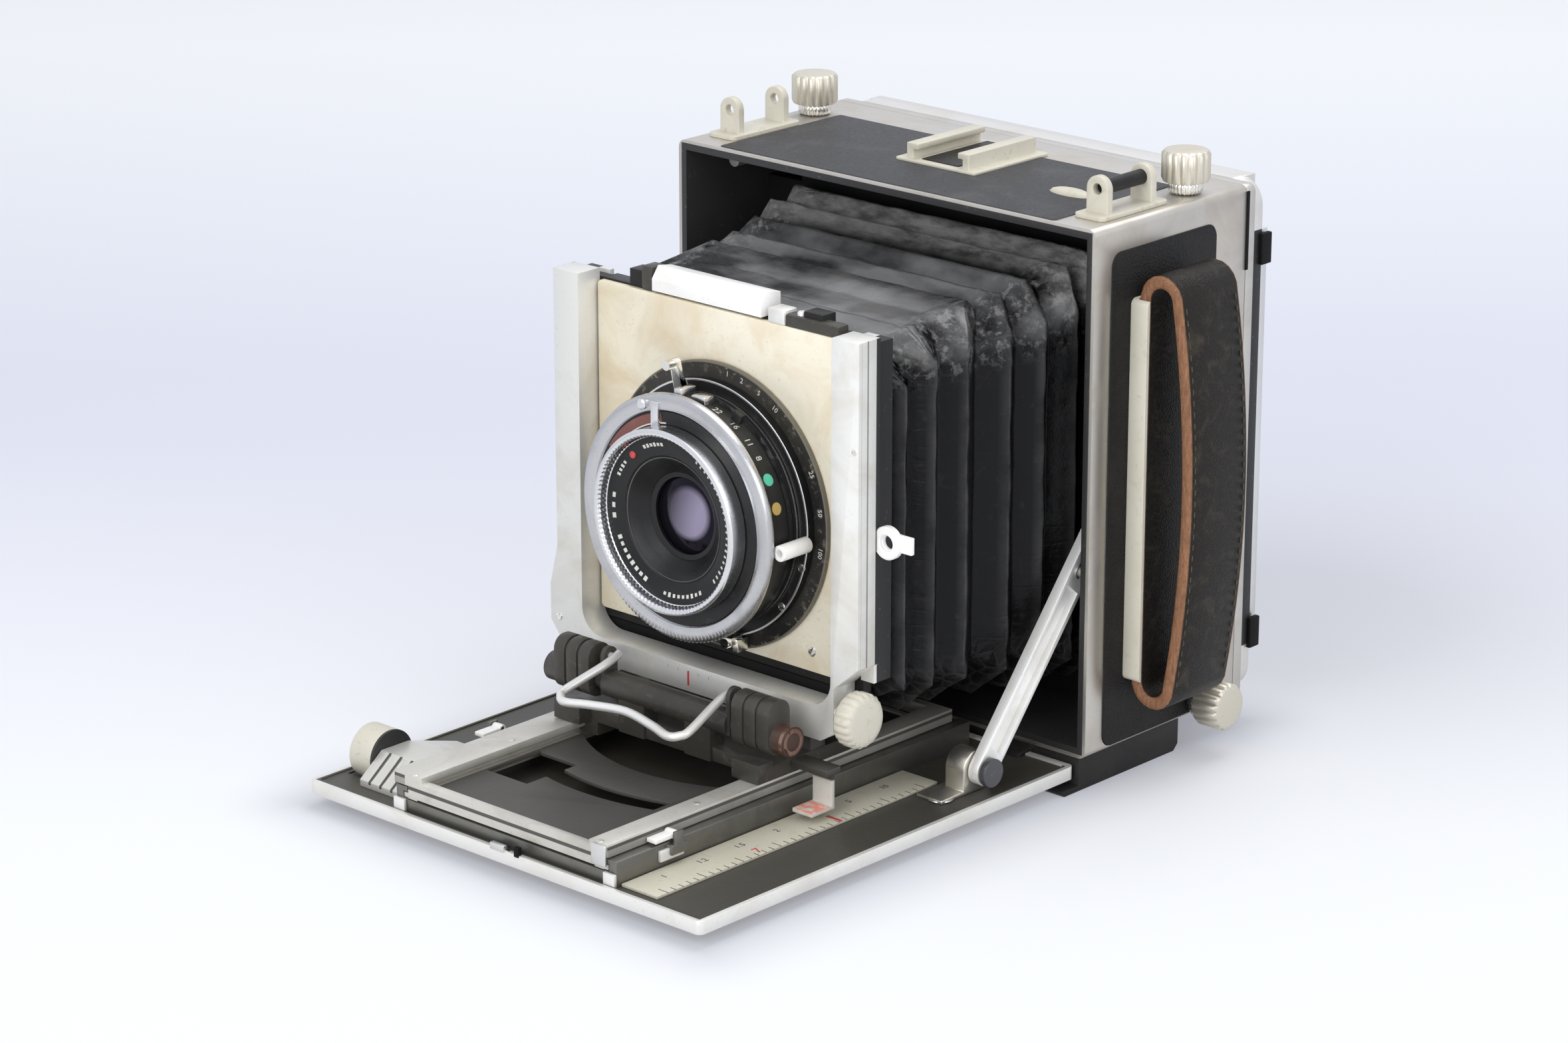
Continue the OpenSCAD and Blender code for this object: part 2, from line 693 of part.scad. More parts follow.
module grip() difference() {
    union() {
        translate([0, grip_y - 0.5, grip_z + grip_up]) along_x(grip_in, grip_out)
            rounded(grip_w, grip_h, 4);
        translate([0, grip_y, grip_z]) rod_x(4.4, grip_out - over, grip_out + 5);
    }
    translate([0, grip_y, grip_z]) rod_x(shaft_r + fit, grip_in - over, grip_out + 1);
    for (i = [0:1]) translate([0, grip_y - 0.5, grip_z + grip_up])
        along_x(grip_in + 4.1 + 4.9 * i, grip_in + 5 + 4.9 * i) difference() {
            square([grip_w + 2, grip_h + 2], center = true);
            rounded(grip_w - 1.2, grip_h - 1.2, 3.4);
        }
}

module grip_left() placed() color([0.2, 0.2, 0.2]) mirror([1, 0, 0]) grip();
module grip_right() placed() color([0.25, 0.2, 0.17]) grip();

// The bail is a bar bent in one plane that falls towards the front: x across, y along the plane
bail_x = lug_in - bail_r - gap;
bail_len = norm([bail_reach, bail_fall]);
bail_pts = [[bail_x, -2], [bail_x, 5], [24.4, bail_len - 5], [23.4, bail_len - 1.6],
    [20, bail_len], [12, bail_len - 2]];
bail_path = concat([for (p = bail_pts) [-p[0], p[1]]], [[0, bail_len - 4]],
    [for (i = [len(bail_pts) - 1:-1:0]) bail_pts[i]]);
function side(a, b) = let (d = b - a) [-d[1], d[0]] / norm(d);
function bent(i, w) = let (p = bail_path, b = p[i], n = len(p) - 1,
    n1 = side(p[max(i - 1, 0)], p[max(i, 1)]), n2 = side(p[min(i, n - 1)], p[min(i + 1, n)]),
    m = (n1 + n2) / norm(n1 + n2)) b + m * w / (m * n1);

module bail_handle() placed() color("silver") translate([0, grip_y, bail_z]) {
    n = len(bail_path) - 1;
    rotate([atan2(bail_fall, bail_reach), 0, 0]) mirror([0, 1, 0])
        translate([0, 0, -bail_r]) linear_extrude(2 * bail_r)
        polygon(concat([for (i = [0:n]) bent(i, bail_r)], [for (i = [n:-1:0]) bent(i, -bail_r)]));
    mirrored() rod_x(bail_pin_r, bail_x, lug_out - 0.1);
}

// U-shaped standard that shifts sideways on the carriage

module u_outline() difference() {
    polygon([[-post_x, post_top], [-post_x, 52], [-post_x - 3, 40], [-post_x - 3, 29],
        [-post_x + 1, 24], [-50, u_low], [-36, u_low], [-33, bar_low], [33, bar_low], [36, u_low],
        [45, u_low], [49.8, u_low + 3], [49.8, 34.5], [post_x, 42], [post_x, post_top]]);
    inner = post_x - post_w;
    translate([-inner, cross_top + u_corner_r]) square([2 * inner, post_top]);
    translate([-inner + u_corner_r, cross_top]) square([2 * (inner - u_corner_r), post_top]);
    for (s = [-1, 1]) translate([s * (inner - u_corner_r), cross_top + u_corner_r])
        circle(u_corner_r);
}

guide_x = 53;

module u_frame() placed() color("whitesmoke") difference() {
    union() {
        along_y(post_front, post_back) u_outline();
        mirrored() {
            box(guide_x, post_x - 0.8, post_back - over, plate_front + plate_t + 2.2, board_z + 2,
                post_top - 1.5);
            box(board_x + 0.6, guide_x + over, plate_front + plate_t + 0.4, plate_front + plate_t + 2.2,
                board_z + 2, post_top - 1.5);
        }
    }
    box(-33, 33, post_front + 2, post_front + 6.4, u_low - over, pedestal_top + 4.3);
    translate([0, shift_y, shift_z]) rod_x(stay_r + fit, 43, 60);
}

module shift_lock_knob() placed() color("white") translate([0, shift_y, shift_z]) {
    rod_x(stay_r, 43.5, 51);
    rod_x(3, 50.2, 54 + over);
    rod_x(8, 54, 60);
}

module cable_lug() placed() color("white") difference() {
    y0 = post_back;
    x = post_x + 3.2;
    union() {
        translate([x, 0, 78]) rod_y(4, y0, y0 + 1.4);
        box(post_x - 0.8, x + 8.5, y0, y0 + 1.4, 76, 81);
    }
    translate([x, 0, 78]) rod_y(2, y0 - over, y0 + 3);
}

// Rising lens carrier with its board

module carrier_plate() placed() color([0.1, 0.1, 0.1]) difference() {
    union() {
        along_y(plate_front, plate_front + plate_t)
            translate([0, (carrier_low + carrier_top) / 2])
            square([2 * carrier_x, carrier_top - carrier_low], center = true);
        along_y(plate_front + plate_t - over, bellows_front)
            translate([0, (carrier_low + carrier_top) / 2])
            square([2 * board_x - 2, carrier_top - carrier_low], center = true);
        mirrored() box(30, 37, plate_front, bellows_front, carrier_top - over, carrier_top + 4.5);
    }
    translate([0, 0, lens_z]) rod_y(cell_r + 2, plate_front - over, bellows_front + over);
    for (x = [-16, 6]) translate([x, latch_y, 0]) rod_z(1.5 + fit, carrier_top - 9, carrier_top + over);
}

latch_y = plate_front + plate_t / 2;

module board_latch() placed() color("white") {
    z0 = carrier_top + 0.4;
    along_x(-26, 16) polygon([[board_front - 0.6, z0], [bellows_front + 0.4, z0],
        [bellows_front + 0.4, z0 + 6], [board_front + 2, z0 + 7], [board_front - 0.6, z0 + 3.5]]);
    for (x = [-16, 6]) translate([x, latch_y, 0]) rod_z(1.5, z0 - 6, z0 + 1);
}

module lens_board() placed() color("wheat") along_y(board_front, plate_front) difference() {
    translate([0, board_z + board_h / 2]) rounded(2 * board_x, board_h, 1.5);
    translate([0, lens_z]) circle(cell_r + 2);
}

module ring_y(y0, y1, r_out, r_in) translate([0, 0, lens_z]) difference() {
    rod_y(r_out, y0, y1);
    rod_y(r_in, y0 - over, y1 + over);
}

module recess_plate() placed() color([0.08, 0.08, 0.08])
    ring_y(plate_y, board_front, plate_r, cell_r + 2);

// The shutter case is a stepped drum with a room for the iris
module shutter_body() placed() color([0.1, 0.1, 0.1]) difference() {
    translate([0, 0, lens_z]) {
        rod_y(cell_r + 2, plate_y - over, bellows_front + 0.5);
        rod_y(flange_r, flange_y, plate_y);
        rod_y(collar_r - fit, speed_y + gap / 2, flange_y + over);
        rod_y(hub_r - fit, hub_front, speed_y + gap / 2 + over);
    }
    translate([0, 0, lens_z]) {
        rod_y(cell_r, hub_front - over, iris_front - 1);
        rod_y(16, hub_front, bellows_front + 2);
        rod_y(iris_room, iris_front, iris_back);
        rod_y(18, iris_back + 3, bellows_front + 2);
    }
    for (i = [0:4]) translate([0, 0, lens_z]) rotate([0, 72 * i, 0]) translate([pivot_r, 0, 0])
        rod_y(iris_pin_r + fit, iris_back - over, iris_back + 2);
}

module iris_blade(i) translate([0, 0, lens_z]) rotate([0, 72 * i, 0]) {
    y = iris_back - blade_step * (i + 1);
    r_in = pivot_r - 3.6;
    r_out = pivot_r + 3.6;
    span = 40;
    along_y(y, y + blade_t) union() {
        polygon(concat(arc(0, 0, r_out, 0, span), arc(0, 0, r_in, span, 0)));
        for (a = [0, span]) rotate(a) translate([pivot_r, 0]) circle(3.6);
    }
    translate([pivot_r, 0, 0]) rod_y(iris_pin_r, y, iris_back + 1.6);
}

module iris_blade_1() placed() color([0.2, 0.2, 0.22]) iris_blade(0);
module iris_blade_2() placed() color([0.2, 0.2, 0.22]) iris_blade(1);
module iris_blade_3() placed() color([0.2, 0.2, 0.22]) iris_blade(2);
module iris_blade_4() placed() color([0.2, 0.2, 0.22]) iris_blade(3);
module iris_blade_5() placed() color([0.2, 0.2, 0.22]) iris_blade(4);

// A thin collar on the shutter with one arm at a given angle from the right
module lever(y, a, r_tip, w) {
    ring_y(y - lever_t, y, collar_r + 1.5, collar_r);
    translate([0, 0, lens_z]) rotate([0, -a, 0]) {
        box(collar_r + 1, r_tip, y - lever_t, y, -w / 2, w / 2);
        translate([r_tip, 0, 0]) rod_y(w / 2, y - lever_t - 3, y);
    }
}

cocking_tip = 42.5;
release_tip = 38.5;

module cocking_lever() placed() color("silver") lever(cock_y, 104, cocking_tip, 3);
module release_lever() placed() color("silver") lever(release_y, -75, release_tip, 3);

module aperture_ring() placed() color([0.12, 0.12, 0.12]) {
    ring_y(aperture_y - aperture_t, aperture_y, collar_r + 1.8, collar_r);
    translate([0, 0, lens_z]) rotate([0, -62, 0])
        box(collar_r + 1, collar_r + 5, aperture_y - 3, aperture_y - 1, -1.6, 1.6);
}

module speed_ring() placed() color("silver") difference() {
    ring_y(speed_y - speed_t, speed_y, ring_r, hub_r);
    for (i = [0:59]) translate([0, 0, lens_z]) rotate([0, 6 * i, 0]) translate([ring_r + 0.35, 0, 0])
        rod_y(0.8, speed_y - speed_t + 1, speed_y + over, $fn = 24);
}

module front_lens_cell() placed() color("silver") translate([0, 0, lens_z]) difference() {
    tube = hub_front - gap;
    seat = barrel_y + 6.2;
    union() {
        rod_y(barrel_r, barrel_y, tube);
        rod_y(cell_r, tube - over, iris_front - 1.4);
    }
    rod_y(filter_r, barrel_y - over, barrel_y + 3);
    translate([0, seat, 0]) rotate([90, 0, 0])
        cylinder(r1 = glass_r, r2 = filter_r - 2, h = seat - barrel_y - 2.9);
    rod_y(glass_r, seat - 0.2, iris_front);
}

module flash_socket() placed() color("ivory") translate([collar_r + 4.6, 0, lens_z - 2.6])
    difference() {
        rod_y(2.3, aperture_y - aperture_t + 0.1, flange_y);
        rod_y(1.1, aperture_y - aperture_t - over, aperture_y - aperture_t + 4);
    }

module rear_lens_cell() placed() color([0.1, 0.1, 0.1]) translate([0, 0, lens_z]) difference() {
    y0 = iris_back + 4;
    union() {
        rod_y(18, y0, bellows_front + 8);
        rod_y(20, bellows_front + 0.8, bellows_front + 8);
    }
    rod_y(14, y0 - over, bellows_front + 10);
}

module lens(r, y_back, t, bulge) translate([0, y_back, lens_z]) rotate([90, 0, 0])
    rotate_extrude() polygon(concat([[0, 0], [r, 0]], arc(0, t - bulge, bulge, acos(r / bulge), 90)));

module lens_glass() placed() color([0.5, 0.5, 0.7, 0.4]) {
    lens(glass_r, barrel_y + 10, 3.4, 34);
    lens(14, bellows_front + 5, 3.5, 60);
}

// Bellows: a square tube folded into pleats, closed on itself as a thin skin

ring_count = 2 * pleats;
bellows_y0 = bellows_front;
bellows_y1 = frame_y;
bellows_top = [board_z + board_h - 3.5, body_h - 14.2];
bellows_low = [board_z + 1, 19];
function mix(a, b, t) = a + (b - a) * t;
function section(x, z0, z1, c, y) = [[x, z0 + c], [x, z1 - c], [x - c, z1], [c - x, z1],
    [-x, z1 - c], [-x, z0 + c], [c - x, z0], [x - c, z0]];
function fold(i) = i == 0 || i == ring_count ? pleat_d * 0.7 : (i % 2 == 1 ? 0 : pleat_d);
function bellows_ring(i, t) = let (u = i / ring_count, d = fold(i) + t)
    [for (p = section(mix(bellows_front_x, bellows_back_x, u) - d,
        mix(bellows_low[0], bellows_low[1], u) + d, mix(bellows_top[0], bellows_top[1], u) - d,
        11 - d, 0)) [p[0], mix(bellows_y0, bellows_y1, u), p[1]]];

module bellows() placed() color([0.1, 0.1, 0.1]) {
    n = 8;
    m = ring_count + 1;
    skin = n * m;
    points = concat([for (i = [0:ring_count]) each bellows_ring(i, 0)],
        [for (i = [0:ring_count]) each bellows_ring(i, bellows_t)]);
    outer = [for (i = [0:ring_count - 1], j = [0:n - 1]) let (k = (j + 1) % n, a = n * i, b = a + n)
        each [[a + j, a + k, b + k], [a + j, b + k, b + j]]];
    inner = [for (f = outer) [f[0] + skin, f[2] + skin, f[1] + skin]];
    caps = [for (j = [0:n - 1]) let (k = (j + 1) % n, e = n * ring_count) each [
        [j, j + skin, k + skin], [j, k + skin, k],
        [e + j, e + k, e + k + skin], [e + j, e + k + skin, e + j + skin]]];
    polyhedron(points, concat(outer, inner, caps));
}

module bellows_rear_frame() placed() color([0.1, 0.1, 0.1]) along_y(frame_y, frame_y + frame_t)
    difference() {
        translate([0, mid_z]) square([body_w - 2 * wall, body_h - 2 * wall], center = true);
        translate([0, mid_z]) square([window_w + 2, window_h + 10], center = true);
        for (x = [-1, 1], z = [0, 1]) translate([x * half_w, z * body_h]) square(34, center = true);
    }

// Back

module back_frame() placed() color("gainsboro") difference() {
    along_y(back_y, back_y + back_t) translate([0, mid_z]) rounded(body_w, body_h, edge_r);
    translate([0, 0, mid_z]) rod_y(revolve_r + fit, back_y - over, back_y + back_t + over,
        $fn = 96);
    for (x = [-rod_x, rod_x], z = [rod_low, rod_high]) translate([x, 0, z])
        rod_y(rod_r, back_y - over, back_y + back_t + over);
}

module back_rods() placed() color("silver")
    for (x = [-rod_x, rod_x], z = [rod_low, rod_high]) translate([x, 0, z])
        rod_y(rod_r, body_d - rod_l, back_y + back_t);

// A lock knob on Z whose stud presses on a guide rod
module lock_knob(stud) {
    rod_z(stud_r, -stud, 0.4);
    rod_z(5, 0, 3 + over);
    rod_z(knob_r, 3, 3 + knob_h);
}

top_stud = body_h - rod_high - rod_r - 0.15;
side_stud = leather_out + gap - rod_x - rod_r - 0.15;

module back_knob_top_left() placed() color("ivory") translate([-rod_x, knob_y, body_h + gap])
    lock_knob(top_stud + gap);
module back_knob_top_right() placed() color("ivory") translate([rod_x, knob_y, body_h + gap])
    lock_knob(top_stud + gap);
module back_knob_low_left() placed() color("ivory")
    translate([-leather_out - gap, knob_y, rod_low]) rotate([0, -90, 0]) lock_knob(side_stud);
module back_knob_low_right() placed() color("ivory")
    translate([leather_out + gap, knob_y, rod_low]) rotate([0, 90, 0]) lock_knob(side_stud);

module revolving_back() placed() color("silver") difference() {
    union() {
        along_y(revolve_y, revolve_end) translate([0, mid_z]) rounded(body_h, body_h, 8);
        translate([0, 0, mid_z]) rod_y(revolve_r, back_y + 0.7, revolve_y + over, $fn = 96);
        for (z = [7, body_h - 7]) translate([0, 0, z]) box(-body_h / 2 + 6, body_h / 2 - 6,
            revolve_end - over, revolve_end + 3.9, -7, 7);
    }
    translate([0, 0, mid_z]) box(-window_w / 2, window_w / 2, back_y - over, revolve_end + over,
        -window_h / 2, window_h / 2);
    for (x = [-pin_x, pin_x], z = [-pin_z, pin_z]) translate([x, 0, mid_z + z])
        rod_y(glass_pin_r + fit, revolve_y - 0.6, revolve_end + over);
}

module ground_glass_frame() placed() color("lightgray") difference() {
    y1 = glass_frame_y + glass_frame_t;
    union() {
        box(-body_h / 2 + 1, body_h / 2 - 1, glass_frame_y, y1, band_low + gap, band_high - gap);
        for (x = [-pin_x, pin_x], z = [-pin_z, pin_z]) translate([x, 0, mid_z + z])
            rod_y(glass_pin_r, revolve_y, glass_frame_y + over);
        translate([0, y1 + 1.7, hood_z]) rod_x(hood_pin_r, -hood_x - 4, hood_x + 4);
        mirrored() box(hood_x + 3, hood_x + 5, y1 - over, y1 + 2.9, hood_z - 1.4, hood_z + 1.4);
    }
    translate([0, 0, mid_z]) {
        box(-window_w / 2 + 2, window_w / 2 - 2, glass_frame_y - over, y1 + over,
            -window_h / 2 + 2, window_h / 2 - 2);
        box(-window_w / 2 - 1, window_w / 2 + 1, y1 - 2, y1 + over, -window_h / 2 - 1,
            window_h / 2 + 1);
    }
}

module ground_glass() placed() color([0.8, 0.85, 0.9, 0.5]) translate([0, 0, mid_z])
    box(-window_w / 2 - 0.9, window_w / 2 + 0.9, glass_frame_y + glass_frame_t - 2,
        glass_frame_y + glass_frame_t - 0.2, -window_h / 2 - 0.9, window_h / 2 + 0.9);

module hood_panel() placed() color("darkgray") difference() {
    y = glass_frame_y + glass_frame_t + 1.7;
    union() {
        box(-hood_x, hood_x, hood_y, hood_y + hood_t, hood_low, hood_z);
        translate([0, y, hood_z]) rod_x(1.7 - gap, -hood_x, hood_x);
    }
    translate([0, y, hood_z]) rod_x(hood_pin_r + fit, -hood_x - over, hood_x + over);
}

body_shell();
base_block();
tripod_bush();
leather_panels();
accessory_shoe();
strap_lugs();
lug_rod();
strap_plate();
hand_strap();
bellows_rear_frame();
bellows();
hinge_pins();
bed_release_button();
back_frame();
back_rods();
back_knob_top_left();
back_knob_top_right();
back_knob_low_left();
back_knob_low_right();
revolving_back();
ground_glass_frame();
ground_glass();
hood_panel();
bed_plate();
bed_rails();
scale_strip();
stay_pivots();
focus_housing();
stay_left();
stay_right();
focus_knob();
focus_track();
infinity_stop_left();
infinity_stop_right();
carriage();
focus_pointer();
grip_left();
grip_right();
bail_handle();
u_frame();
shift_lock_knob();
carrier_plate();
lens_board();
board_latch();
cable_lug();
recess_plate();
shutter_body();
flash_socket();
speed_ring();
aperture_ring();
cocking_lever();
release_lever();
iris_blade_1();
iris_blade_2();
iris_blade_3();
iris_blade_4();
iris_blade_5();
front_lens_cell();
rear_lens_cell();
lens_glass();
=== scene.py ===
import json
import math
import random

import bmesh
import bpy
from mathutils import Matrix, Vector, noise


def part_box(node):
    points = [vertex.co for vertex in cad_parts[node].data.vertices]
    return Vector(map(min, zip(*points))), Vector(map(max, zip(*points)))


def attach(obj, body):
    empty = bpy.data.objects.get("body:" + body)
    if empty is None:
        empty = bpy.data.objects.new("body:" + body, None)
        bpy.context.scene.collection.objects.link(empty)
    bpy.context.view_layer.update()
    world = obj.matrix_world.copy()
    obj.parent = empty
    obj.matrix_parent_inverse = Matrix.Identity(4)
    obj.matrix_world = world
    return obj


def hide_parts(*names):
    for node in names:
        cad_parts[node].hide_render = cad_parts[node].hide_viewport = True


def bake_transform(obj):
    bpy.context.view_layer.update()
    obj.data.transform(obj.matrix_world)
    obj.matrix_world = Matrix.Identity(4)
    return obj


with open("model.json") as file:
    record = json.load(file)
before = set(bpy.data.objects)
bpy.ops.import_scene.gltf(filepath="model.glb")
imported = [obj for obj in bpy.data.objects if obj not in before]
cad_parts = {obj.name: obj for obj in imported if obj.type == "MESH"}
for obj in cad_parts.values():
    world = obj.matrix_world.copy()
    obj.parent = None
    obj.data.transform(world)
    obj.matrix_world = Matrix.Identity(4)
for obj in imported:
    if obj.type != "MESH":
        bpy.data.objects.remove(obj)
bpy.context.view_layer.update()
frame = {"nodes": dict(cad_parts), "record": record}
nodes = frame["nodes"]
bodyOf = {node: body for body, members in frame["record"]["behaviour"]["bodies"].items() for node in members}
random.seed(7)
mm = 0.001
housingFront = 19
housingLow = 10
lensHigh = 76


def spot(x, y, z):
    # a place in mm from the lower front edge of the housing, as the part's source counts
    return Vector((x, y - housingFront, z + housingLow)) * mm


# Shader maths written as plain expressions
class Signal:
    def __init__(self, maker, socket):
        self.maker = maker
        self.socket = socket

    def __add__(self, other):
        return self.maker.maths("ADD", self, other)

    def __radd__(self, other):
        return self.maker.maths("ADD", other, self)

    def __sub__(self, other):
        return self.maker.maths("SUBTRACT", self, other)

    def __rsub__(self, other):
        return self.maker.maths("SUBTRACT", other, self)

    def __mul__(self, other):
        return self.maker.maths("MULTIPLY", self, other)


class NodeMaker:
    def __init__(self, tree):
        self.tree = tree

    def node(self, kind, settings, inputs, output=0):
        made = self.tree.nodes.new("ShaderNode" + kind)
        for key, value in settings.items():
            setattr(made, key, value)
        for key, value in inputs.items():
            self.feed(made.inputs[key], value)
        return Signal(self, made.outputs[output])

    def maths(self, operation, *values):
        return self.node("Math", {"operation": operation}, dict(enumerate(values)))

    def feed(self, socket, value):
        if isinstance(value, Signal):
            self.tree.links.new(value.socket, socket)
        elif socket.type == "RGBA" and len(value) == 3:
            socket.default_value = (*value, 1)
        else:
            socket.default_value = value

    def fit(self, value, low, high, toLow=0.0, toHigh=1.0):
        return self.node("MapRange", {"clamp": True}, {"Value": value, "From Min": low, "From Max": high,
                                                       "To Min": toLow, "To Max": toHigh})

    def above(self, value, limit, soft=0.08):
        return self.fit(value, limit - soft, limit + soft)

    def below(self, value, limit, soft=0.08):
        return self.fit(value, limit - soft, limit + soft, 1.0, 0.0)

    def size(self, value):
        return self.maths("ABSOLUTE", value)

    def larger(self, a, b):
        return self.maths("MAXIMUM", a, b)

    def distance(self, a, b):
        return self.maths("SQRT", a * a + b * b)

    def seen(self):
        # 1 for rays that come from the camera, from a mirror or through glass
        camera, glossy, passed = [self.node("LightPath", {}, {}, "Is %s Ray" % kind)
                                  for kind in ("Camera", "Glossy", "Transmission")]
        return self.larger(self.larger(camera, glossy), passed)


class Finish(NodeMaker):
    def __init__(self, name, constants):
        self.material = bpy.data.materials.new(name)
        self.material.use_nodes = True
        super().__init__(self.material.node_tree)
        self.surface = self.tree.nodes["Principled BSDF"]
        for socket, value in constants.items():
            self.surface.inputs[socket].default_value = value

    def place(self, scale=(1, 1, 1)):
        # object coordinates in millimetres
        raw = self.node("TexCoord", {}, {}, "Object")
        size = [s * 1000 for s in scale]
        return self.node("Mapping", {"vector_type": "POINT"}, {"Vector": raw, "Scale": size})

    def axes(self):
        # x, y and z in mm from the lower front edge of the housing
        raw = self.node("TexCoord", {}, {}, "Object")
        x, y, z = [self.node("SeparateXYZ", {}, {"Vector": raw}, axis) * 1000 for axis in "XYZ"]
        return x, y + housingFront, z - housingLow

    def cloud(self, where, scale, detail, rough, warp=0.0):
        return self.node("TexNoise", {}, {"Vector": where, "Scale": scale, "Detail": detail,
                                          "Roughness": rough, "Distortion": warp})

    def stains(self, where, scale, detail, rough, low, high, warp=0.0, faint=0.0):
        # a cloud cut down to patches between two of its levels
        return self.fit(self.cloud(where, scale, detail, rough, warp), low, high, faint)

    def cells(self, where, scale, feature="F1"):
        return self.node("TexVoronoi", {"feature": feature}, {"Vector": where, "Scale": scale}, "Distance")

    def edges(self, where, scale):
        return self.cells(where, scale, "DISTANCE_TO_EDGE")

    def mix(self, factor, a, b):
        made = self.tree.nodes.new("ShaderNodeMix")
        made.data_type = "RGBA"
        self.feed(made.inputs[0], factor)
        self.feed(made.inputs[6], a)
        self.feed(made.inputs[7], b)
        return Signal(self, made.outputs[2])

    def bump(self, height, distance, strength, under=None):
        inputs = {"Height": height, "Distance": distance, "Strength": strength}
        if under:
            inputs["Normal"] = under
        return self.node("Bump", {}, inputs)

    def wear(self, **sockets):
        for key, value in sockets.items():
            self.feed(self.surface.inputs[key.replace("_", " ")], value)
        return self.material


# Metal with stains, specks, fine brushing and, where a mask says so, paint
def metal(name, tint, stain, roughness, stainAmount, brush=None, metallic=1.0, pits=0.3, paint=None):
    finish = Finish(name, {"IOR": 1.5})
    where = finish.place()
    patches = finish.stains(where, 0.045, 5, 0.62, 0.46, 0.72, warp=0.6)
    specks = finish.stains(where, 0.9, 3, 0.6, 0.6, 0.74)
    dirt = finish.larger(patches * stainAmount, specks * pits)
    colour = finish.mix(dirt, tint, stain)
    if brush:
        lines = finish.cloud(finish.place(scale=brush), 1.0, 4, 0.7)
    else:
        lines = finish.cloud(where, 2.2, 4, 0.7)
    rough = (lines - 0.5) * 0.2 + roughness + dirt * 0.18
    dents = finish.cloud(where, 0.12, 2, 0.5)
    shine = metallic - dirt * (0.25 * metallic)
    if paint:
        cover = paint["mask"](finish, *finish.axes())
        rubbed = finish.stains(where, 0.5, 5, 0.7, 0.62, 0.72) * paint["worn"]
        colour = finish.mix(cover, colour, finish.mix(rubbed, paint["tint"], paint.get("under", tint)))
        rough = rough + cover * (paint["roughness"] - roughness)
        shine = shine * (1 - cover)
    normal = finish.bump(lines * 0.02 + dents * 0.25, 0.0006, 0.35)
    return finish.wear(Base_Color=colour, Roughness=rough, Metallic=shine, Normal=normal)


# Lacquer with scuffs that show what lies under it
def enamel(name, tint, worn, roughness, chip, level=0.5, paint=()):
    finish = Finish(name, {"Specular IOR Level": level})
    where = finish.place()
    scuffs = finish.stains(where, 0.35, 6, 0.7, 0.56, 0.7, warp=0.4)
    broad = finish.stains(where, 0.04, 3, 0.5, 0.35, 0.7)
    colour = finish.mix(scuffs * chip, tint, worn)
    colour = finish.mix(broad * 0.25, colour, worn)
    for part in paint:
        colour = finish.mix(part["mask"](finish, *finish.axes()), colour, part["tint"])
    fine = finish.cloud(where, 3.0, 3, 0.6)
    rough = (fine - 0.5) * 0.2 + roughness + scuffs * 0.12
    normal = finish.bump(fine * 0.05 + scuffs * 0.03, 0.0008, 0.5)
    return finish.wear(Base_Color=colour, Roughness=rough, Normal=normal)


# Pebbled leather with scuffs and dust
def leather(name, tint, worn, roughness, cell, depth, scuffAmount, dusty, level):
    finish = Finish(name, {"Specular IOR Level": level})
    where = finish.place()
    bent = finish.cloud(where, 0.8, 2, 0.5)
    pebbles = finish.cells(where, 1 / cell)
    gaps = finish.edges(where, 1 / cell)
    scuffs = finish.stains(where, 0.06, 6, 0.68, 0.5, 0.75, warp=0.5)
    dust = finish.stains(where, 0.7, 4, 0.7, 0.62, 0.78)
    colour = finish.mix(finish.larger(scuffs * scuffAmount, dust * dusty), tint, worn)
    rough = (bent - 0.5) * 0.2 + roughness - finish.fit(gaps, 0.0, 0.2) * 0.06 + scuffs * 0.08
    height = finish.fit(gaps, 0.0, 0.25) - pebbles * 0.4
    normal = finish.bump(height, depth * mm, 0.7)
    return finish.wear(Base_Color=colour, Roughness=rough, Normal=normal)


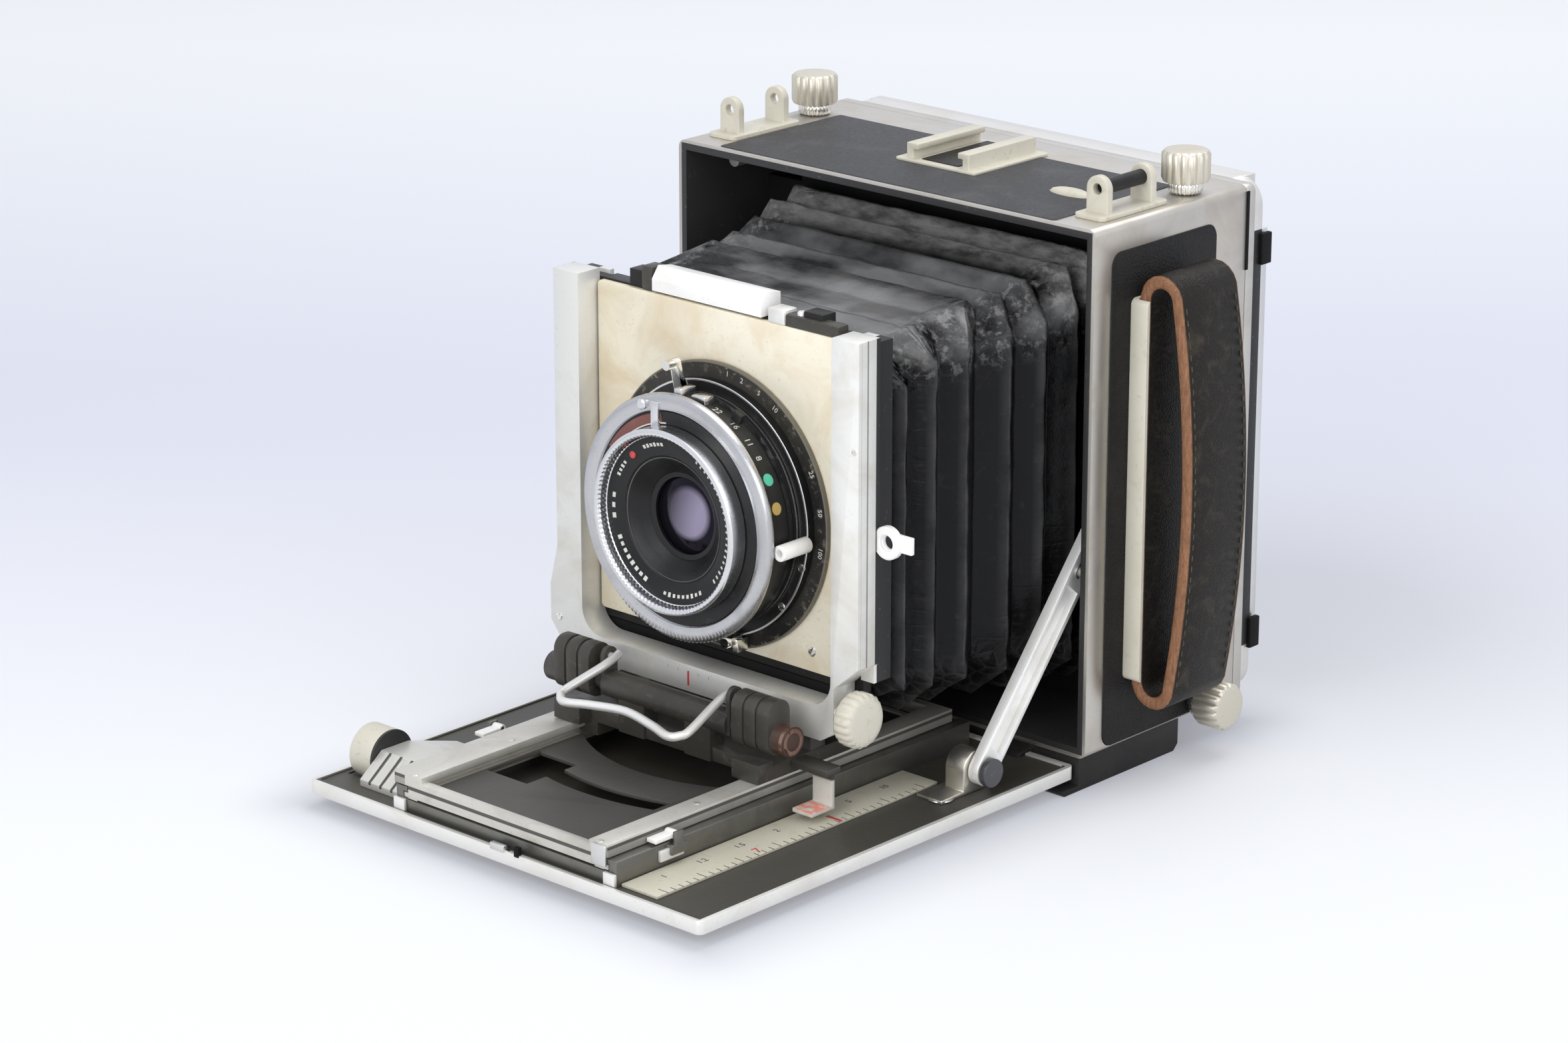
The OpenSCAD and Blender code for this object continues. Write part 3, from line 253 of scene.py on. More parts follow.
# Thin folded leather: a smooth face with cross creases, crumpled corners and light scuffs
def foldedLeather(name, tint, worn, roughness):
    finish = Finish(name, {"Specular IOR Level": 0.16, "Coat Roughness": 0.2})
    where = finish.place()
    x, y, z = finish.axes()
    fine = finish.edges(where, 1.1)
    soft = finish.cloud(where, 0.16, 3, 0.55)
    cross = finish.cloud(finish.place(scale=(0.03, 0.03, 0.2)), 1.0, 2, 0.5)
    creases = finish.fit(finish.size(cross - 0.5), 0.0, 0.05, 1.0, 0.0)
    ends = finish.larger(finish.above(z, 119, 6), finish.below(z, 33, 5))
    corner = ends * finish.above(finish.size(x), 44, 4)
    crumple = finish.edges(finish.place(), 0.2)
    # the corners fan out behind the standard; the top is rubbed paler in a band at the back, and carries
    # painted sheen and a painted highlight on the right of its flat front
    fans = finish.maths("SINE", (y + z * 0.3 - finish.size(x) * 0.4) * 2.6)
    fanPlace = corner * finish.below(y, -47, 2)
    scuffs = finish.stains(where, 0.22, 6, 0.75, 0.58, 0.74, warp=0.6)
    edges = corner * finish.fit(crumple, 0.0, 0.1, 1.0, 0.0)
    top = finish.above(z, 128, 2)
    streaks = finish.cloud(finish.place(scale=(0.12, 0.3, 0.3)), 1.0, 4, 0.6)
    band = top * finish.above(y, 14, 3) * finish.fit(streaks, 0.35, 0.62, 0.25, 1.0)
    flat = finish.above(z, 125, 2) * finish.below(y, -24, 4)
    flat = flat * finish.fit(x, -8, 14) * finish.fit(x, 44, 50, 1, 0)
    # real scuffs, and painted highlights along the crumple edges at the corners
    colour = finish.mix(finish.larger(scuffs * 0.35, edges * 0.4), tint, worn)
    # painted sheen in streaks over the top, and a painted highlight on the right of its flat front; the same
    # streaks also make the top glossier
    sheenNoise = finish.cloud(finish.place(scale=(0.03, 0.06, 0.05)), 1.0, 4, 0.5)
    shine = finish.above(z, 124, 3) * finish.fit(sheenNoise, 0.42, 0.62)
    flatHighlight = flat * finish.fit(sheenNoise, 0.3, 0.55, 0.4, 0.8)
    gloss = finish.larger(shine, flatHighlight)
    colour = finish.mix(shine * 0.8, colour, (0.12, 0.119, 0.117))
    colour = finish.mix(flatHighlight, colour, (0.17, 0.168, 0.165))
    # painted glints on the upper corners
    glints = finish.stains(where, 0.3, 4, 0.7, 0.52, 0.62) * corner * finish.above(z, 117, 2)
    colour = finish.mix(glints * 0.45, colour, (0.3, 0.297, 0.29))
    # painted highlights along the ridges of the folds, broken into patches
    fold = finish.node("Attribute", {"attribute_name": "fold"}, {}, "Fac")
    rubbed = finish.stains(where, 0.09, 4, 0.6, 0.3, 0.6, faint=0.25)
    colour = finish.mix(fold * rubbed * 0.6, colour, (0.1, 0.099, 0.1))
    colour = finish.mix(band * 0.85, colour, (0.42, 0.417, 0.41))
    rough = roughness + (soft - 0.5) * 0.22 + creases * 0.03 + scuffs * 0.1 - shine * 0.06
    normal = finish.bump(finish.fit(fine, 0.0, 0.3), 0.00004, 0.5)
    normal = finish.bump(creases * -0.16 + soft * 1.2, 0.0008, 0.5, normal)
    normal = finish.bump(finish.fit(crumple, 0.0, 0.4) * corner, 0.0012, 0.4, normal)
    normal = finish.bump(fans * fanPlace, 0.0006, 0.8, normal)
    return finish.wear(Base_Color=colour, Roughness=rough, Normal=normal, Coat_Weight=gloss * 0.8)


# Strap leather: black grain on the faces, raw tan on the cut edges
def strapFinish(name, black, worn, tan, tanDark):
    finish = Finish(name, {"Specular IOR Level": 0.18})
    where = finish.place()
    x, y, z = finish.axes()
    cut = finish.larger(finish.below(y, 18.55, 0.12), finish.above(y, 43.2, 0.2))
    gaps = finish.edges(where, 1.15)
    scuffs = finish.stains(where, 0.12, 6, 0.72, 0.52, 0.72, warp=0.8)
    specks = finish.stains(where, 0.8, 4, 0.7, 0.6, 0.72)
    face = finish.mix(finish.larger(scuffs * 0.45, specks * 0.4), black, worn)
    fibre = finish.cloud(finish.place(scale=(1, 1, 0.2)), 1.4, 4, 0.7)
    edge = finish.mix(finish.fit(fibre, 0.35, 0.7), tan, tanDark)
    colour = finish.mix(cut, face, edge)
    rough = (fibre - 0.5) * 0.15 + 0.42 + cut * 0.22
    normal = finish.bump(finish.fit(gaps, 0.0, 0.28), 0.00014, 0.7)
    normal = finish.bump(fibre * cut, 0.0004, 0.5, normal)
    return finish.wear(Base_Color=colour, Roughness=rough, Normal=normal)


def glassFinish(name, tint, roughness, transmission):
    finish = Finish(name, {"IOR": 1.5, "Transmission Weight": transmission})
    haze = finish.cloud(finish.place(), 0.5, 3, 0.6)
    colour = finish.mix(finish.fit(haze, 0.4, 0.7) * 0.15, tint, [c * 0.8 for c in tint])
    return finish.wear(Base_Color=colour, Roughness=(haze - 0.5) * 0.04 + roughness)


# Coated lens glass: a dark rim round a pale violet pupil, which is a painted reflection, painted darker
# towards its left as painted shade
def coatedGlass(name, centre, rim, pupil, pupilAt):
    finish = Finish(name, {"IOR": 1.5, "Specular IOR Level": 0.16, "Specular Tint": (0.8, 0.7, 1.0, 1)})
    x, y, z = finish.axes()
    across = x - pupilAt[0]
    up = z - pupilAt[1]
    away = finish.distance(across, up)
    side = finish.fit(across - up * 0.25, -7, 4, 0.15, 1.0)
    haze = finish.cloud(finish.place(), 0.35, 2, 0.5)
    inner = finish.mix(side, rim, centre)
    colour = finish.mix(finish.above(away, pupil, 0.9), inner, rim)
    return finish.wear(Base_Color=colour, Roughness=(haze - 0.5) * 0.05 + 0.1)


# Masks for paint take the place in mm from the lower front edge of the housing
def insideMask(finish, x, y, z):
    # the housing is black inside and on the end faces of its walls
    return finish.below(finish.size(x), 78.9) * finish.above(z, 1.1) * finish.below(z, 156.1)


def bedFieldMask(finish, x, y, z):
    field = finish.below(finish.size(x), 75.6) * finish.above(y, -156.0) * finish.below(y, -3.2)
    return field * finish.above(z, -3.2)


def backSideMask(finish, x, y, z):
    return finish.above(finish.size(x), 77.2) * finish.above(z, 14.8) * finish.below(z, 142.2)


def trackMask(finish, x, y, z):
    # the floor of the track is dark, and dark lines run along its front bar and its rails
    wide = finish.size(x)
    floor = finish.below(wide, 32.95) * finish.above(y, -151.5) * finish.below(z, 5.3)
    front = finish.below(y, -154.2) * finish.above(z, 4.3) * finish.below(z, 5.4)
    side = finish.above(wide, 39.8) * finish.below(z, 8.3) * (finish.above(z, 7.3) * 0.5 + 0.5)
    return finish.larger(finish.larger(floor, front), side)


def postMask(finish, x, y, z):
    # the outer sides of the posts carry dark lines of painted shade where thin grooves run, and are painted a
    # little darker all over as painted shade; the left post is painted darker as painted shade, and the posts
    # are black where the guides begin
    wide = finish.size(x)
    lines = finish.above(y, -70.9) * finish.below(y, -70.3) * 0.75
    lines = finish.larger(lines, finish.above(y, -73.3) * finish.below(y, -72.9) * 0.35)
    lines = finish.larger(lines, finish.above(y, -74.3) * 0.2)
    outer = finish.above(wide, 58.4) * finish.larger(lines, finish.above(y, -67.2, 0.1))
    outer = finish.larger(outer, finish.below(x, -46, 3) * 0.14)
    return finish.larger(outer, finish.above(wide, 53.1) * finish.above(y, -65.5))


def boardLeftShadeMask(finish, x, y, z):
    # the left of the board is painted darker and yellower in patches, as painted shade
    patches = finish.stains(finish.place(), 0.05, 4, 0.6, 0.35, 0.65, faint=0.5)
    return finish.fit(x, -48, 6, 0.42, 0.0) * patches


def beyond(axis, limit, soft=0.08, bothWays=False):
    # a mask for what lies past a limit along one axis
    def mask(finish, *place):
        value = finish.size(place[axis]) if bothWays else place[axis]
        return finish.above(value, limit, soft)

    return mask


def ribMask(finish, x, y, z):
    # dark grooves on the sloping front of the focus housing
    along = finish.maths("MODULO", x + 163.5, 4.5)
    groove = finish.below(along, 1.0, 0.1) * finish.above(x, -61.5)
    return groove * finish.below(y, -141.4, 0.2) * finish.above(z, -1.3)


def plateEdgeMask(finish, x, y, z):
    # paint worn off the rim of the plate round the shutter
    away = finish.distance(x, z - lensHigh)
    chips = finish.stains(finish.place(), 0.4, 5, 0.7, 0.56, 0.66)
    return finish.larger(finish.above(away, 41.5, 0.15) * 0.45, finish.above(away, 39.5, 2) * chips * 0.7)


def pointerMask(finish, x, y, z):
    stain = finish.stains(finish.place(), 0.35, 3, 0.6, 0.35, 0.5)
    return finish.below(y, -80.2, 0.2) * finish.above(z, 1.8, 0.1) * finish.below(z, 3) * stain


def collarMask(finish, x, y, z):
    # the collars of the levers are black but for a bright line at the back
    return finish.below(finish.distance(x, z - lensHigh), 34.6, 0.2) * finish.below(y, -72.35, 0.08)


print("finishes")
champagne = metal("champagneMetal", (0.6, 0.57, 0.52), (0.4, 0.34, 0.26), 0.4, 0.5,
                  paint={"mask": insideMask, "tint": (0.024, 0.0235, 0.0235), "roughness": 0.55,
                         "worn": 0.12})
backSilver = metal("backSilver", (0.76, 0.74, 0.705), (0.5, 0.45, 0.38), 0.36, 0.35, metallic=0.8,
                   paint={"mask": backSideMask, "tint": (0.01, 0.01, 0.011), "roughness": 0.5, "worn": 0.1})
slideSilver = metal("slideSilver", (0.6, 0.58, 0.54), (0.4, 0.35, 0.28), 0.38, 0.45)
satinSilver = metal("satinSilver", (0.72, 0.72, 0.7), (0.5, 0.47, 0.42), 0.38, 0.3, pits=0.2)
frameSilver = metal("frameSilver", (0.82, 0.815, 0.79), (0.52, 0.46, 0.35), 0.36, 0.45, pits=0.25,
                    metallic=0.5)
postSilver = metal("postSilver", (0.84, 0.835, 0.8), (0.54, 0.48, 0.37), 0.38, 0.5, pits=0.25, metallic=0.4,
                   paint={"mask": postMask, "tint": (0.012, 0.012, 0.012), "roughness": 0.5, "worn": 0.1})
stayMetal = metal("stayMetal", (0.9, 0.895, 0.87), (0.55, 0.5, 0.43), 0.34, 0.4, brush=(0.2, 4.0, 4.0),
                  metallic=0.35)
pivotMetal = metal("pivotMetal", (0.66, 0.63, 0.56), (0.35, 0.3, 0.22), 0.34, 0.6,
                   paint={"mask": beyond(0, 72.6, bothWays=True), "tint": (0.06, 0.06, 0.065),
                          "roughness": 0.32, "worn": 0.8})
railSilver = metal("railSilver", (0.7, 0.69, 0.645), (0.34, 0.31, 0.26), 0.36, 0.6, brush=(3.0, 0.06, 3.0),
                   metallic=0.8)
darkRail = metal("darkRail", (0.2, 0.195, 0.175), (0.07, 0.066, 0.056), 0.4, 0.6, brush=(3.0, 0.06, 3.0),
                 metallic=0.8)
nickelKnob = metal("nickelKnob", (0.66, 0.62, 0.52), (0.42, 0.36, 0.25), 0.4, 0.45, metallic=0.7)
knobBase = metal("knobBase", (0.82, 0.8, 0.74), (0.4, 0.36, 0.28), 0.24, 0.4)
chromeRing = metal("chromeRing", (0.56, 0.56, 0.57), (0.3, 0.3, 0.3), 0.26, 0.45, pits=0.4)
brightRim = metal("brightRim", (0.74, 0.74, 0.75), (0.4, 0.4, 0.4), 0.2, 0.3, pits=0.2)
boardMetal = metal("boardMetal", (0.92, 0.86, 0.7), (0.68, 0.5, 0.27), 0.44, 0.6, brush=(0.12, 3.0, 3.0),
                   metallic=0.3, pits=0.5,
                   paint={"mask": boardLeftShadeMask, "tint": (0.5, 0.42, 0.27), "roughness": 0.46, "worn": 0.0})
ivoryEnamel = enamel("ivoryEnamel", (0.66, 0.63, 0.53), (0.42, 0.36, 0.24), 0.4, 0.5)
whiteEnamel = enamel("whiteEnamel", (0.92, 0.915, 0.9), (0.66, 0.61, 0.5), 0.36, 0.25)
blackEnamel = enamel("blackEnamel", (0.01, 0.0095, 0.0095), (0.05, 0.044, 0.038), 0.42, 0.4, level=0.25)
mattBlack = enamel("mattBlack", (0.006, 0.006, 0.0065), (0.025, 0.025, 0.025), 0.7, 0.25, level=0.15)
bedPaint = metal("bedPaint", (0.82, 0.81, 0.77), (0.5, 0.46, 0.38), 0.36, 0.3, metallic=0.5,
                 paint={"mask": bedFieldMask, "tint": (0.055, 0.052, 0.042), "roughness": 0.46, "worn": 0.35,
                        "under": (0.16, 0.15, 0.12)})
gripBlack = enamel("gripBlack", (0.044, 0.041, 0.036), (0.13, 0.115, 0.09), 0.34, 0.5, level=0.3)
gripCopper = enamel("gripCopper", (0.044, 0.041, 0.036), (0.13, 0.115, 0.09), 0.34, 0.5, level=0.3,
                    paint=[{"mask": beyond(0, 42.6), "tint": (0.06, 0.03, 0.02)}])
copperRing = metal("copperRing", (0.3, 0.18, 0.14), (0.1, 0.05, 0.035), 0.26, 0.6, metallic=0.8)
shutterBlack = enamel("shutterBlack", (0.009, 0.009, 0.0095), (0.06, 0.058, 0.052), 0.34, 0.45, level=0.3)
plateBlack = enamel("plateBlack", (0.009, 0.0088, 0.0085), (0.15, 0.135, 0.1), 0.4, 0.5, level=0.3,
                    paint=[{"mask": plateEdgeMask, "tint": (0.33, 0.3, 0.23)}])
ribbedSilver = metal("ribbedSilver", (0.66, 0.65, 0.6), (0.4, 0.36, 0.29), 0.42, 0.45, metallic=0.45,
                     paint={"mask": ribMask, "tint": (0.06, 0.055, 0.045), "roughness": 0.6, "worn": 0.2})
trackSilver = metal("trackSilver", (0.64, 0.62, 0.56), (0.3, 0.27, 0.22), 0.4, 0.5, brush=(3.0, 0.06, 3.0),
                    metallic=0.6, paint={"mask": trackMask, "tint": (0.07, 0.066, 0.058), "roughness": 0.5,
                                         "worn": 0.25, "under": (0.2, 0.19, 0.17)})
scaleIvory = enamel("scaleIvory", (0.6, 0.575, 0.47), (0.4, 0.35, 0.26), 0.45, 0.5)
# the inner face of the focus wheel is painted black as painted shadow
wheelIvory = enamel("wheelIvory", (0.66, 0.63, 0.54), (0.42, 0.36, 0.25), 0.4, 0.5,
                    paint=[{"mask": beyond(0, -64.6), "tint": (0.02, 0.02, 0.02)}])
# the foot of the pointer has pink paint on its top, and above 9.5 mm the pointer is painted dark as painted
# shadow
pointerPaint = enamel("pointerPaint", (0.62, 0.61, 0.56), (0.38, 0.33, 0.25), 0.4, 0.45,
                      paint=[{"mask": pointerMask, "tint": (0.72, 0.27, 0.2)},
                             {"mask": beyond(2, 9.5, 0.3), "tint": (0.05, 0.047, 0.04)}])
redPaint = enamel("redPaint", (0.56, 0.05, 0.05), (0.4, 0.12, 0.1), 0.45, 0.4)
greenPaint = enamel("greenPaint", (0.08, 0.55, 0.36), (0.3, 0.6, 0.5), 0.4, 0.3)
yellowPaint = enamel("yellowPaint", (0.5, 0.34, 0.08), (0.5, 0.45, 0.3), 0.4, 0.4)
markWhite = enamel("markWhite", (0.66, 0.65, 0.6), (0.35, 0.34, 0.3), 0.45, 0.6)
markFaint = enamel("markFaint", (0.42, 0.4, 0.35), (0.5, 0.46, 0.4), 0.5, 0.4)
markDark = enamel("markDark", (0.05, 0.045, 0.04), (0.2, 0.18, 0.15), 0.5, 0.5)
lensBlack = enamel("lensBlack", (0.007, 0.007, 0.0075), (0.03, 0.029, 0.029), 0.38, 0.3, level=0.3)
leverMetal = metal("leverMetal", (0.78, 0.77, 0.72), (0.45, 0.42, 0.34), 0.26, 0.4,
                   paint={"mask": collarMask, "tint": (0.01, 0.01, 0.011), "roughness": 0.4, "worn": 0.2})
windowRed = enamel("windowRed", (0.16, 0.045, 0.035), (0.3, 0.14, 0.1), 0.35, 0.4)
sideLeather = leather("sideLeather", (0.0105, 0.01, 0.0095), (0.05, 0.044, 0.034), 0.5, 0.9, 0.1, 0.25, 0.3,
                      0.2)
# the top leather is painted grey, paler than the sides, as painted light from above
litTopLeather = leather("litTopLeather", (0.05, 0.05, 0.053), (0.14, 0.14, 0.14), 0.55, 0.7, 0.14, 0.5, 0.5, 0.25)
bellowsLeather = foldedLeather("bellowsLeather", (0.0062, 0.0062, 0.0066), (0.05, 0.05, 0.05), 0.33)
strapLeather = strapFinish("strapLeather", (0.014, 0.0115, 0.0095), (0.085, 0.07, 0.045),
                           (0.33, 0.165, 0.09), (0.18, 0.085, 0.046))
threadCream = enamel("threadCream", (0.06, 0.052, 0.036), (0.2, 0.18, 0.12), 0.6, 0.4, level=0.2)
rearGlass = glassFinish("rearGlass", (0.3, 0.26, 0.42), 0.06, 0.5)
frontGlass = coatedGlass("frontGlass", (0.3, 0.265, 0.37), (0.005, 0.0045, 0.007), 7.3, (1.3, 77))
mattGlass = glassFinish("mattGlass", (0.72, 0.75, 0.74), 0.55, 0.3)

finishedNodes = [
    (champagne, ["body_shell"]), (sideLeather, ["leather_panels"]), (mattBlack, ["bellows_rear_frame"]),
    (blackEnamel, ["base_block", "lug_rod", "hood_panel", "carrier_plate"]),
    (blackEnamel, ["iris_blade_%d" % k for k in range(1, 6)]),
    (nickelKnob, ["tripod_bush", "back_knob_top_left", "back_knob_top_right", "back_knob_low_left",
                  "back_knob_low_right"]),
    (ivoryEnamel, ["accessory_shoe", "strap_lugs", "strap_plate", "bed_release_button", "shift_lock_knob"]),
    (railSilver, ["hinge_pins", "back_rods"]), (slideSilver, ["back_frame"]),
    (backSilver, ["revolving_back"]), (satinSilver, ["ground_glass_frame", "bail_handle"]),
    (mattGlass, ["ground_glass"]), (bedPaint, ["bed_plate"]), (darkRail, ["bed_rails"]),
    (scaleIvory, ["scale_strip"]),
    (pivotMetal, ["stay_pivots"]), (stayMetal, ["stay_left", "stay_right"]), (wheelIvory, ["focus_knob"]),
    (ribbedSilver, ["focus_housing"]), (trackSilver, ["focus_track"]), (pointerPaint, ["focus_pointer"]),
    (whiteEnamel, ["infinity_stop_left", "infinity_stop_right", "board_latch", "cable_lug", "flash_socket"]),
    (gripBlack, ["carriage", "grip_left"]), (gripCopper, ["grip_right"]), (postSilver, ["u_frame"]),
    (boardMetal, ["lens_board"]), (plateBlack, ["recess_plate"]), (chromeRing, ["speed_ring"]),
    (shutterBlack, ["shutter_body", "aperture_ring", "front_lens_cell", "rear_lens_cell"]),
    (leverMetal, ["cocking_lever", "release_lever"]), (rearGlass, ["lens_glass"]),
]
nodeFinish = {name: material for material, names in finishedNodes for name in names}
for name, material in nodeFinish.items():
    nodes[name].data.materials.clear()
    nodes[name].data.materials.append(material)


def joined(shapes):
    whole = bmesh.new()
    for one in shapes:
        mesh = bpy.data.meshes.new("part")
        one.to_mesh(mesh)
        one.free()
        whole.from_mesh(mesh)
        bpy.data.meshes.remove(mesh)
    return whole


def newPiece(name, shapes, material, body=None, smooth=40):
    # an object from one shape or a list of them; smooth is the angle in degrees that stays sharp
    bm = joined(shapes) if isinstance(shapes, list) else shapes
    mesh = bpy.data.meshes.new(name)
    bm.to_mesh(mesh)
    bm.free()
    mesh.shade_smooth()
    mesh.set_sharp_from_angle(angle=math.radians(smooth))
    piece = bpy.data.objects.new(name, mesh)
    bpy.context.scene.collection.objects.link(piece)
    mesh.materials.append(material)
    if body:
        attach(piece, body)
    return piece


# The edges of the machined pieces are broken by a small round, as on the real ones
edgeRounds = {
    "body_shell": 0.5, "base_block": 0.6, "accessory_shoe": 0.3, "strap_lugs": 0.5, "strap_plate": 0.6,
    "bed_plate": 0.5, "u_frame": 1.3, "lens_board": 0.25, "board_latch": 0.35, "stay_right": 0.35,
    "stay_left": 0.35, "stay_pivots": 0.6, "focus_housing": 0.4, "bed_rails": 0.2, "focus_track": 0.35,
    "carriage": 0.4, "focus_pointer": 0.25, "cable_lug": 0.4, "back_frame": 0.5, "revolving_back": 0.8,
    "ground_glass_frame": 0.4, "hood_panel": 0.3, "scale_strip": 0.15, "infinity_stop_left": 0.2,
    "infinity_stop_right": 0.2, "recess_plate": 0.25, "focus_knob": 0.6,
    "cocking_lever": 0.35, "release_lever": 0.35, "carrier_plate": 0.4, "grip_left": 0.5, "grip_right": 0.5,
    "flash_socket": 0.25, "aperture_ring": 0.3, "tripod_bush": 0.4,
}


def soften(bm, edges, width, segments=2):
    bmesh.ops.bevel(bm, geom=edges, offset=width * mm, offset_type="OFFSET", affect="EDGES",
                    segments=segments, profile=0.5, material=-1, clamp_overlap=True)


def softenCorners(bm, width):
    # round the edges between faces that meet at more than 32 degrees
    sharp = math.radians(32)
    soften(bm, [e for e in bm.edges if len(e.link_faces) == 2 and e.calc_face_angle(0) > sharp], width)


def nodeCopy(name):
    # the mesh of a node with its triangles merged back into flat faces
    bm = bmesh.new()
    bm.from_mesh(nodes[name].data)
    bmesh.ops.remove_doubles(bm, verts=bm.verts, dist=2e-6)
    bmesh.ops.dissolve_limit(bm, angle_limit=math.radians(0.4), verts=bm.verts, edges=bm.edges)
    return bm


def roundedCopy(name, width):
    bm = nodeCopy(name)
    softenCorners(bm, width)
    piece = newPiece(name + "_finished", bm, nodeFinish[name], bodyOf[name], 38)
    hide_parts(name)


print("rounded edges")
for name, width in edgeRounds.items():
    roundedCopy(name, width)


# Shapes for small pieces
def turned(profile, steps, shape=None):
    # pairs of radius and height in mm, spun round Z
    bm = bmesh.new()
    verts = [bm.verts.new((r * mm, 0, h * mm)) for r, h in profile]
    edges = [bm.edges.new(pair) for pair in zip(verts, verts[1:])]
    bmesh.ops.spin(bm, geom=verts + edges, cent=(0, 0, 0), axis=(0, 0, 1), angle=math.tau, steps=steps,
                   use_merge=True)
    bmesh.ops.remove_doubles(bm, verts=bm.verts, dist=1e-6)
    bmesh.ops.recalc_face_normals(bm, faces=bm.faces)
    if shape:
        for vert in bm.verts:
            grow = shape(vert.co.xy.length / mm, math.atan2(vert.co.y, vert.co.x), vert.co.z / mm)
            vert.co.x *= grow
            vert.co.y *= grow
    return bm


facing = {
    "up": Matrix.Identity(4), "front": Matrix.Rotation(math.radians(90), 4, "X"),
    "right": Matrix.Rotation(math.radians(90), 4, "Y"), "left": Matrix.Rotation(math.radians(-90), 4, "Y"),
    "back": Matrix.Rotation(math.radians(-90), 4, "X"),
}


def put(bm, at, way="up", roll=0):
    # move a shape made round Z so that Z points the given way, at a place in housing mm
    turn = facing[way] @ Matrix.Rotation(math.radians(roll), 4, "Z")
    bmesh.ops.transform(bm, matrix=Matrix.Translation(spot(*at)) @ turn, verts=bm.verts)
    return bm


def block(low, high, width, segments=2):
    # a box between two corners in housing mm with rounded edges
    a, b = spot(*low), spot(*high)
    bm = bmesh.new()
    sized = Matrix.Diagonal((*[abs(q - p) for p, q in zip(a, b)], 1))
    bmesh.ops.create_cube(bm, size=1, matrix=Matrix.Translation((a + b) / 2) @ sized)
    soften(bm, bm.edges[:], width, segments)
    return bm


def twins(x, half, low, high, width, segments=2):
    # the same block at the right and at the left, with y and z of its corners
    return [block((side * x - half, *low), (side * x + half, *high), width, segments) for side in (1, -1)]


def screw(at, radius, way, proud, angle):
    # a round-headed screw with a slot across it
    depth = 0.4
    head = turned([(0, proud), (radius * 0.55, proud), (radius * 0.9, proud * 0.75), (radius, proud * 0.2),
                   (radius, -depth), (0, -depth)], 20)
    for side in (1, -1):
        bmesh.ops.bisect_plane(head, geom=head.verts[:] + head.edges[:] + head.faces[:],
                               plane_co=(0, side * radius * 0.16 * mm, 0), plane_no=(0, 1, 0))
    for vert in head.verts:
        if abs(vert.co.y) < radius * 0.17 * mm and vert.co.z > proud * 0.3 * mm:
            vert.co.z -= proud * 0.45 * mm
    return put(head, at, way, angle)


def digits(text, size):
    # plain numbers as a thin mesh lying on Z
    curve = bpy.data.curves.new("digits", "FONT")
    curve.body = text
    curve.size = size * mm
    curve.align_x = "CENTER"
    curve.align_y = "CENTER"
    curve.extrude = 0.06 * mm
    curve.resolution_u = 2
    holder = bpy.data.objects.new("digits", curve)
    bpy.context.scene.collection.objects.link(holder)
    bpy.context.view_layer.update()
    mesh = bpy.data.meshes.new_from_object(holder.evaluated_get(bpy.context.evaluated_depsgraph_get()))
    bpy.data.objects.remove(holder)
    bm = bmesh.new()
    bm.from_mesh(mesh)
    bpy.data.meshes.remove(mesh)
    return bm


def firstRing(bm, points):
    ring = [bm.verts.new(p) for p in points]
    return [bm.edges.new((ring[i], ring[(i + 1) % len(ring)])) for i in range(len(ring))]


def nextRing(bm, edges, olds, targets):
    # draw a ring of edges on to its next place, and give its new edges and faces
    made = bmesh.ops.extrude_edge_only(bm, edges=edges)["geom"]
    for vert in [g for g in made if isinstance(g, bmesh.types.BMVert)]:
        nearest = min(range(len(olds)), key=lambda i: (vert.co - olds[i]).length)
        vert.co = targets[nearest]
    edges = [g for g in made if isinstance(g, bmesh.types.BMEdge) and len(g.link_faces) == 1]
    return edges, [g for g in made if isinstance(g, bmesh.types.BMFace)]


def swept(path, section, closed=False):
    # a closed section carried along a path, which gives points with their across and out directions
    def at(k):
        here, across, out = path[k]
        return [here + across * (w * mm) + out * (d * mm) for w, d in section]

    bm = bmesh.new()
    first = firstRing(bm, at(0))
    edges = first
    for k in range(1, len(path)):
        edges = nextRing(bm, edges, at(k - 1), at(k))[0]
    if closed:
        bmesh.ops.bridge_loops(bm, edges=first + edges)
    else:
        bmesh.ops.contextual_create(bm, geom=first)
        bmesh.ops.contextual_create(bm, geom=edges)
    bmesh.ops.recalc_face_normals(bm, faces=bm.faces)
    return bm


# Leather panels: near black on the sides, and painted grey on the top as painted light from above
print("leather panels")
topPanel = {"half": 64.3, "front": 0.9, "back": 54.6, "low": 156.6, "high": 157.25}
sides = nodeCopy("leather_panels")
bmesh.ops.delete(sides, geom=[v for v in sides.verts if v.co.z > spot(0, 0, topPanel["low"] - 0.2).z],
                 context="VERTS")
softenCorners(sides, 0.3)
panels = newPiece("leather_panels_sides", sides, sideLeather, "housing", 38)
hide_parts("leather_panels")
sheet = block((-topPanel["half"], topPanel["front"], topPanel["low"]),
              (topPanel["half"], topPanel["back"], topPanel["high"]), 0)
upright = [e for e in sheet.edges if abs(e.verts[0].co.z - e.verts[1].co.z) > 1e-5]
soften(sheet, upright, 1.2, 4)
rim = [e for e in sheet.edges if min(v.co.z for v in e.verts) > spot(0, 0, topPanel["high"] - 0.05).z]
soften(sheet, rim, 0.2)
newPiece("leather_panel_top", sheet, litTopLeather, "housing", 38)


